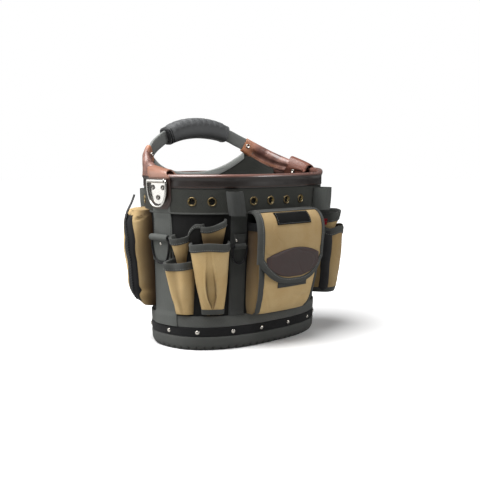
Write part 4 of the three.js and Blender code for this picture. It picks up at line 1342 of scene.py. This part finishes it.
def makeTabs():
    runs = []
    for name in ("Left", "Right"):
        end = tab[name]
        s, shift = end["s"], end["shift"]
        path = curvePath([(out, z, 0) for out, z in end["path"]], tab["steps"])

        def lay(u, v):
            out, z = path[round(v * tab["steps"])][:2]
            side = 2 * u - 1
            share = smoothStep(228, 244, z) if v < 0.4 else 1
            half = tab["wide"] / 2 * (0.62 + 0.38 * math.sqrt(share))  # rounded foot outside
            moved = s + shift * smoothStep(276, 292, z)
            point = wallPoint(moved + side * half, z, out - 0.6 * abs(side) ** 10)
            slope = end["slope"] * side + end["rise"]  # higher towards the handle
            return point + Vector((0, 0, rimLift(point.x / mm, z) + slope * smoothStep(278, 294, z))) * mm

        sewnPiece("leatherTab" + name, 24, tab["steps"], lay, tab["thick"], 50, tabLeather[name],
                  "rim_leather", ["leather_tab_" + name.lower()])
        inside, z = s + shift + end["side"] * tab["rivet"], tab["rivetZ"]
        outwards, up = wallAxes(inside, z)[:2]
        spot = wallPoint(inside, z, tab["rivetOut"])
        spot += Vector((0, 0, rimLift(wallPoint(inside, z).x / mm, z))) * mm
        dress(scatter("tabRivetInside" + name, rivetModel(tab["rivetRadius"]), [(spot, -outwards, up)]),
              nickel, "polished_steel")
        for side in (-1, 1):
            edge = s + side * tab["seam"]
            runs.append(wallRun(edge, edge, tab["seamLow"], tab["seamHigh"], 5))
    stitches("tabStitches", runs, brownThread, "rim_leather", 4.2, 2.8, 0.4)


makeStraps()
makeToolLoops()
makeTabs()
print("straps and tabs made")

# fittings at the ends: plate with a rolled barrel, and the ring through it
plate = {"z": 275, "seat": 5.7, "thick": 2, "wide": 42, "low": -38, "round": -14, "barrel": 3.6, "bore": 2.3,
         "barrelOut": 10.5, "rivets": [(-12.5, -11), (12.5, -11), (0, -27)], "rivetRadius": 4.2}
steelRing = {"wide": 50, "drop": 43.5, "wire": 1.9}
# eye is the middle and radius of the fold round the bar; front is the tab's face beyond it, as (out, y)
blackRings = {"left": {"s": leftEnd, "z": 183, "wide": 46, "drop": 44, "tab": 43, "tail": -1,
                       "eye": (7.4, 4.7), "rivet": 10.5, "shift": 0, "cloth": loopWebbing,
                       "front": [(5.8, 5), (4.9, 9), (4.6, 16), (4.4, 26), (4.2, 38)]},
              "front": {"s": -90, "z": 171, "wide": 29, "drop": 30, "tab": 19, "tail": 1, "eye": (6.8, 3.9),
                        "rivet": 9, "shift": -5, "cloth": darkWebbing,
                        "front": [(5.3, 5), (5.3, 8), (5.3, 13), (5.3, 19)]}}
blackRing = {"out": 6.8, "wire": 1.7, "backOut": 2.9, "tabThick": 1.4, "rivetHead": (2.6, 1.5), "rivetOut": 6}


def plateHalf(y):
    # half width of the plate at y below its barrel
    half = plate["wide"] / 2
    if y > plate["round"]:
        return half
    t = (y - plate["round"]) / (plate["low"] - plate["round"])
    return half * math.sqrt(max(0, 1 - t ** 2.3))


def fitted(s, z):
    # places in mm from a spot on the wall: outwards, up and along
    outwards, up, along = wallAxes(s, z)
    start = wallPoint(s, z)
    return lambda x, y, w: start + (outwards * x + up * y + along * w) * mm


def wireRing(name, at, out, wide, drop, wire):
    # straight bar at the top and a rounded bow below, one closed wire
    half, deep = wide / 2 - wire, drop - wire
    path = [Vector((0, half * (2 * k / 14 - 1), 0)) for k in range(1, 14)]
    for k in range(49):
        turn = math.pi * k / 48
        path.append(Vector((0, half * signedPower(math.cos(turn), 0.75), -deep * math.sin(turn) ** 0.85)))
    count = len(path)

    def lay(i, a, b):
        i %= count
        along = (path[(i + 1) % count] - path[i - 1]).normalized()
        point = path[i] + Vector((1, 0, 0)).cross(along) * b
        return at(out + a, point.z, point.y)

    return roundOff(tubePiece(name, count + 1, lens(12, wire, wire), lay, False))


def makePlates():
    half, seat, thick = plate["wide"] / 2, plate["seat"], plate["thick"]
    bore, barrelOuter = plate["bore"], plate["barrel"]
    barrelLine = [(-half, bore), (-half, 3.2), (-half + 0.5, barrelOuter), (half - 0.5, barrelOuter),
                  (half, 3.2), (half, bore), (0, bore), (-half, bore)]
    for name, s in (("Left", leftEnd), ("Right", rightEnd)):
        at = fitted(s, plate["z"])
        side = name.lower()

        def lay(u, v):
            y = plate["low"] * (1 - v) ** 1.6
            edge = 1 - abs(2 * u - 1)
            return at(seat + thick - 0.5 * (1 - smoothStep(0, 0.12, edge)), y, -plateHalf(y) * (2 * u - 1))

        def roll(i, a, b):
            w, radius = barrelLine[i]
            return at(plate["barrelOut"] + a * radius, b * radius, w)

        sheet = gridPiece("plate", 30, 30, lay)
        weld(sheet)
        thicken(sheet, thick)
        smooth(sheet, 35)
        barrel = tubePiece("barrel", len(barrelLine), lens(28, 1, 1), roll, False)
        smooth(barrel, 35)
        dress(joinAll("ringPlate" + name, [sheet, barrel]), steel, "polished_steel", ["ring_plate_" + side])
        outwards, up = wallAxes(s, plate["z"])[:2]
        places = [(at(seat + thick + 0.1, y, w), outwards, up) for w, y in plate["rivets"]]
        dress(scatter("plateRivets" + name, rivetModel(plate["rivetRadius"]), places), darkSteel,
              "polished_steel")
        dress(wireRing("steelRing" + name, at, plate["barrelOut"], **steelRing), steel, "polished_steel",
              ["steel_ring_" + side], "steel_ring_" + side)


def makeBlackRings():
    for name, ring in blackRings.items():
        s, z, tail = ring["s"], ring["z"], ring["tail"]
        at = fitted(s, z)
        middle, radius = ring["eye"]
        flat = [(blackRing["backOut"], tail * y, 0) for y in (ring["front"][-1][1] + 1, 14, 8, 3)]
        eye = []
        for k in range(25):
            turn = math.radians(lerp(-170, 100, k / 24)) * -tail
            eye.append(Vector((middle + radius * math.cos(turn), radius * math.sin(turn), 0)))
        front = [(out, tail * y, 0) for out, y in ring["front"]]
        run = curvePath(flat, 10) + eye + curvePath(front, 10)
        rows = len(run) - 1

        def lay(u, v):
            point = run[round(v * rows)]
            return at(point.x, point.y, (0.5 - u) * ring["tab"])

        title = name.title()
        sewnPiece("ringTab" + title, 14, rows, lay, blackRing["tabThick"], 50, ring["cloth"], "black_webbing",
                  ["ring_tab_" + name], 0, outward=True)
        outwards, up = wallAxes(s, z)[:2]
        spot = wallPoint(s + ring["shift"], z + tail * ring["rivet"], blackRing["rivetOut"])
        dress(scatter("tabRivet" + title, domeModel(*blackRing["rivetHead"]), [(spot, outwards, up)]), nickel,
              "polished_steel")
        wire = wireRing("blackRing" + title, at, blackRing["out"], ring["wide"], ring["drop"],
                        blackRing["wire"])
        dress(wire, blackMetal, "black_metal", ["black_ring_" + name], "black_ring_" + name)


makePlates()
makeBlackRings()
print("fittings made")

# handle: webbing strap, moulded grip, leather sleeves and the scooped panel
handle = {"route": [(-134, 72, 308), (-126, 78, 317.5), (-111, 86, 329), (-93, 91.5, 339), (-75, 95, 347.5),
                    (-40, 97, 358.5), (0, 97.5, 362.5), (40, 97, 359), (75, 95, 349.5), (93, 91.5, 341.5),
                    (111, 86, 333), (127, 77.5, 322)],
          "strapThick": 5, "strapTall": 22, "gripLeft": -77, "gripRight": 66, "gripThick": 29, "gripMid": 36,
          "gripEnd": 30, "rib": 13.5, "collarHalf": 13.1,
          "collar": (0.9, 1.03, 1.05, 1.05, 1.03, 0.97, 0.97, 1.03, 1.05, 1.05, 1.02, 0.97)}


def handleFrames(steps):
    return levelFrames(curvePath([Vector(p) * mm for p in handle["route"]], steps))


def makeHandle():
    frames = handleFrames(120)
    band = lens(28, handle["strapThick"] / 2, handle["strapTall"] / 2, 7)

    def strap(i, a, b):
        point, side, up = frames[i]
        return point + (side * a + up * b) * mm

    piece = tubePiece("handleStrap", len(frames), band, strap)
    smooth(piece, 50)
    dress(piece, strapWebbing, "dark_webbing", ["handle_strap"])
    fine = [f for f in handleFrames(480) if handle["gripLeft"] * mm <= f[0].x <= handle["gripRight"] * mm]
    lengths = [length / mm for length in runLengths([f[0] for f in fine])]
    total = lengths[-1]
    section = lens(64, 1, 1, 3)

    def lay(i, a, b):
        point, side, up = fine[i]
        share = abs(2 * lengths[i] / total - 1)
        tall = lerp(handle["gripMid"], handle["gripEnd"], share ** 2.2) / 2
        thick = handle["gripThick"] / 2 * (0.9 + 0.1 * (1 - share ** 2))
        end = min(lengths[i], total - lengths[i])
        close = 1 - 0.06 * (1 - smoothStep(0, 3, end))
        # 0 in the middle of a groove
        groove = abs((lengths[i] - total / 2) / handle["rib"] % 1 - 0.5) * handle["rib"]
        ribbed = smoothStep(0.36, 0.46, b) * smoothStep(8, 16, end)
        ridge = hump(b - 0.38, 0.05) * smoothStep(6, 14, end) * 0.7
        grow = ribbed * (0.9 - 1.7 * hump(groove, 1.6)) + ridge
        wide = a * thick * close + math.copysign(grow * abs(a), a)
        return point + (side * wide + up * (b * tall * close + grow * max(0, b))) * mm

    grip = tubePiece("moldedGrip", len(fine), section, lay)
    smooth(grip, 50)
    dress(grip, gripRubber, "grip_rubber", ["handle_grip"])
    count = len(handle["collar"])
    for name, ends, finish in (("Left", fine[:count], blackPlastic),
                               ("Right", fine[:-count - 1:-1], gripRubber)):
        def collar(i, a, b):
            point, side, up = ends[i]
            spread = side * a * handle["collarHalf"] + up * b * handle["gripEnd"] / 2
            return point + spread * handle["collar"][i] * mm

        piece = tubePiece("gripCollar" + name, count, section, collar)
        smooth(piece, 50)
        dress(piece, finish, "grip_rubber")


# padded leather tube with a flat sewn fin below; routes are (x, y, z, height)
sleeve = {"Right": [(160, -6, 292, 17), (157.5, 28, 297, 25), (148, 56, 306, 30), (132, 75, 318, 31),
                    (108, 86.5, 333.5, 27.5)],
          "Left": [(-160, -2, 284, 18), (-159, 26, 286, 26), (-152, 52, 292, 34), (-140.5, 68, 304, 37),
                   (-125, 78.5, 319, 34)],
          "steps": 70, "thick": 15, "fin": 5, "split": -0.2, "mouth": (54, 64), "mouthHalf": 4.6,
          "seam": (18, 69), "rivetAt": 65, "rivetOut": 4.7, "rivetRise": 0.7, "rivetRadius": 4.2}


def makeSleeves():
    runs = []
    places = []
    for name, seed in (("Right", 1), ("Left", -1)):
        route = curvePath(sleeve[name], sleeve["steps"])
        frames = levelFrames([Vector(p[:3]) * mm for p in route])
        talls = [p[3] for p in route]

        def lay(i, a, b):
            point, side, up = frames[i]
            tall = talls[i] / 2
            tubeHalf = min(sleeve["thick"] / 2, tall * 0.8)
            split = lerp(-0.75, sleeve["split"], smoothStep(6, 10, tall))
            rise = (b - split) / (1 - split) * 2 - 1
            if rise > 0:
                wide = tubeHalf * math.sqrt(max(0, 1 - rise * rise))
            else:
                wide = lerp(sleeve["fin"] / 2, tubeHalf, smoothStep(split - 0.12, split + 0.42, b))
                wide *= (1 - max(0, -b) ** 14) ** 0.5
            flat = sleeve["mouthHalf"] * (1 - abs(b) ** 8) ** 0.5  # flattens over the strap at the top end
            wide = lerp(wide, flat, smoothStep(*sleeve["mouth"], i)) + 0.5 * ripple(i * 1.4, b * 12, 9, seed)
            if name == "Left":  # astride the rim as far as the turn of the end
                saddle = lerp(5.5, 8, smoothStep(17, 24, i)) * (1 - abs(b) ** 6) ** 0.5
                wide = lerp(saddle, wide, smoothStep(36, 52, i))
            return point + (side * math.copysign(max(0.2, wide), a) * min(1, abs(a) * 8) + up * b * tall) * mm

        def shade(u, v):
            # raw along the seam and near the mouth
            rise = math.sin(math.tau * u)
            seam = 0.6 * hump(rise + 0.62, 0.1) * smoothStep(0.2, 0.4, v)
            return max(seam, 0.75 * smoothStep(0.72, 0.98, v - 0.06 * rise))

        piece = tubePiece("handleSleeve" + name, len(frames), lens(44, 1, 1), lay, True, shade)
        smooth(piece, 60)
        dress(piece, sleeveLeather, "rim_leather", ["handle_sleeve_" + name.lower()])
        for face in (-1, 1):
            run = []
            for i in range(*sleeve["seam"]):
                point, side, up = frames[i]
                low = up * talls[i] / 2 * 0.62
                run.append((point + (side * face * (sleeve["fin"] / 2 + 0.3) - low) * mm, side * face))
            runs.append(run)
            point, side, up = frames[sleeve["rivetAt"]]
            spot = point + (side * face * sleeve["rivetOut"] + up * sleeve["rivetRise"]) * mm
            places.append((spot, side * face, up))
    stitches("sleeveStitches", runs, brownThread, "rim_leather", 4, 2.7, 0.4)
    dress(scatter("sleeveRivets", rivetModel(sleeve["rivetRadius"]), places), nickel, "polished_steel")


# the under lists are (reach, z) along the foot of the sleeves; over is the binding's (depth, rise)
panel = {"reach": 157, "low": 170, "dip": 281.5, "scoopRight": 105, "scoopLeft": 124, "out": -7.7,
         "lean": 0.03, "thick": 2.5, "bound": (-119, 113), "seam": 8, "seamReach": 105,
         "seamFaces": ((4.1, -1), (-1.6, 1)),
         "underRight": [(0, 330), (100, 329), (111, 321.5), (132, 307), (148, 295), (158, 287)],
         "underLeft": [(0, 330), (100, 318), (111, 312), (126, 306), (140, 294), (150, 286), (158, 283)],
         "over": [(2.8, -10), (3, -9.6), (3, -1), (2.5, 0.6), (1.25, 1), (0, 0.6), (-0.5, -1), (-0.5, -9.6),
                  (-0.3, -10)]}


def panelTop(x):
    # scooped edge up to the sleeves, then along under them
    reach, side = abs(x), "Left" if x < 0 else "Right"
    scooped = panel["dip"] + 30 * (reach / panel["scoop" + side]) ** 2.45
    under = panel["under" + side]
    for (x0, z0), (x1, z1) in zip(under, under[1:]):
        if reach <= x1:
            return min(scooped, lerp(z0, z1, (reach - x0) / (x1 - x0)))
    return under[-1][1]


def panelPoint(x, z, deep=0):
    # along the back wall just inside the rim, leaning in as it rises
    rimZ = heights["rim"]
    angle = math.acos(max(-1, min(1, signedPower(x / planAt(rimZ)[0], plan["power"] / 2))))
    point = ovalPoint(angle, min(z, rimZ), panel["out"] - deep - panel["lean"] * (z - rimZ))
    return point + Vector((0, 0, max(0, z - rimZ))) * mm


def makePanel():
    def sheet(u, v):
        x = panel["reach"] * (2 * u - 1)
        return panelPoint(x, lerp(panel["low"], panelTop(x), v), panel["thick"])

    sewnPiece("handlePanel", 90, 40, sheet, panel["thick"], 50, charcoalNylon, "dark_nylon",
              ["handle_panel"], outward=True)
    rows = len(panel["over"]) - 1

    def lay(u, v):
        x = lerp(*panel["bound"], u)
        deep, rise = panel["over"][round(v * rows)]
        return panelPoint(x, panelTop(x) + rise, deep)

    sewnPiece("panelBinding", 90, rows, lay, tape["welt"], 60, litBinding, "grey_webbing",
              ["panel_binding"], 1, outward=True)
    runs = []
    for deep, face in panel["seamFaces"]:
        run = []
        for k in range(101):
            x = panel["seamReach"] * (2 * k / 100 - 1)
            run.append((panelPoint(x, panelTop(x) - panel["seam"], deep), Vector((0, face, 0))))
        runs.append(run)
    stitches("panelStitches", runs, thread, "grey_webbing", 4, 2.7, 0.35)


makeHandle()
makeSleeves()
makePanel()
print("handle made")

# camera fitted to the photograph: direction, distance in metres, focal length in pixels, and target in mm
view = {"azimuth": 44.7, "elevation": 6.03, "distance": 1.502, "focal": 853.0, "sideways": 8.65,
        "height": 165.94, "picture": 480, "sensor": 36}


def makeCamera():
    a, e = math.radians(view["azimuth"]), math.radians(view["elevation"])
    back = Vector((-math.sin(a) * math.cos(e), -math.cos(a) * math.cos(e), math.sin(e)))
    right = Vector((math.cos(a), -math.sin(a), 0))
    target = right * view["sideways"] * mm + Vector((0, 0, view["height"] * mm))
    data = bpy.data.cameras.new("camera")
    data.sensor_width = view["sensor"]
    data.lens = view["focal"] / view["picture"] * view["sensor"]
    camera = bpy.data.objects.new("camera", data)
    camera.location = target + back * view["distance"]
    camera.rotation_euler = (-back).to_track_quat("-Z", "Y").to_euler()
    bpy.context.scene.collection.objects.link(camera)
    bpy.context.scene.camera = camera


# lamps are (name, place, size, power), in metres and watts; the floor fades to white from near to far
studio = {"world": 0.12, "floor": "#f8f8f8", "bounce": "#b4b4b2", "floorSize": 14, "near": 0.3,
          "far": 0.9, "aim": 0.15,
          "lamps": [("overhead", (-0.56, 0.06, 1.3), 1.5, 48), ("rearLeft", (-1.4, 1.2, 0.5), 1.8, 18),
                    ("right", (0.9, -1.5, 0.75), 0.7, 14)]}
white, black = (1, 1, 1, 1), (0, 0, 0, 1)


def makeBackdrop():
    world = bpy.data.worlds.new("studio")
    world.use_nodes = True
    tree = world.node_tree
    soft = tree.nodes["Background"]
    feed(tree, soft, {"Color": white, "Strength": studio["world"]})
    plain = addNode(tree, "Background", {"Color": white})
    seen = addNode(tree, "LightPath", {}).outputs["Is Camera Ray"]
    mix = addNode(tree, "MixShader", {0: seen, 1: soft.outputs[0], 2: plain.outputs[0]})
    feed(tree, tree.nodes["World Output"], {0: mix.outputs[0]})  # white backdrop, softer light
    bpy.context.scene.world = world


def makeLamps():
    for name, spot, size, power in studio["lamps"]:
        data = bpy.data.lights.new(name, "AREA")
        data.shape = "DISK"
        data.size = size
        data.energy = power
        lamp = bpy.data.objects.new(name, data)
        lamp.location = spot
        toBag = Vector((0, 0, studio["aim"])) - Vector(spot)
        lamp.rotation_euler = toBag.to_track_quat("-Z", "Y").to_euler()
        bpy.context.scene.collection.objects.link(lamp)


def makeFloor():
    deselect()
    bpy.ops.mesh.primitive_plane_add(size=studio["floorSize"])
    floor = bpy.context.object
    floor.name = "floor"
    material, tree, shader = newMaterial("paleFloor")
    seen = addNode(tree, "LightPath", {}).outputs["Is Camera Ray"]
    where = addNode(tree, "TexCoord", {}).outputs["Object"]
    away = addNode(tree, "VectorMath", {0: where}, operation="LENGTH").outputs["Value"]
    fade = remap(tree, away, {"From Min": studio["near"], "From Max": studio["far"]},
                 interpolation_type="SMOOTHSTEP")
    # fades into the backdrop, and throws little light back up
    glow = mixColour(tree, mathNode(tree, "MULTIPLY", fade, seen), black, white)
    pale = mixColour(tree, seen, linear(studio["bounce"]), linear(studio["floor"]))
    feed(tree, shader, {"Base Color": pale, "Roughness": 0.9, "Emission Color": glow, "Emission Strength": 1})
    floor.data.materials.append(material)


bpy.context.scene.view_settings.view_transform = "Standard"
makeCamera()
makeBackdrop()
makeLamps()
makeFloor()
print("camera and light set")
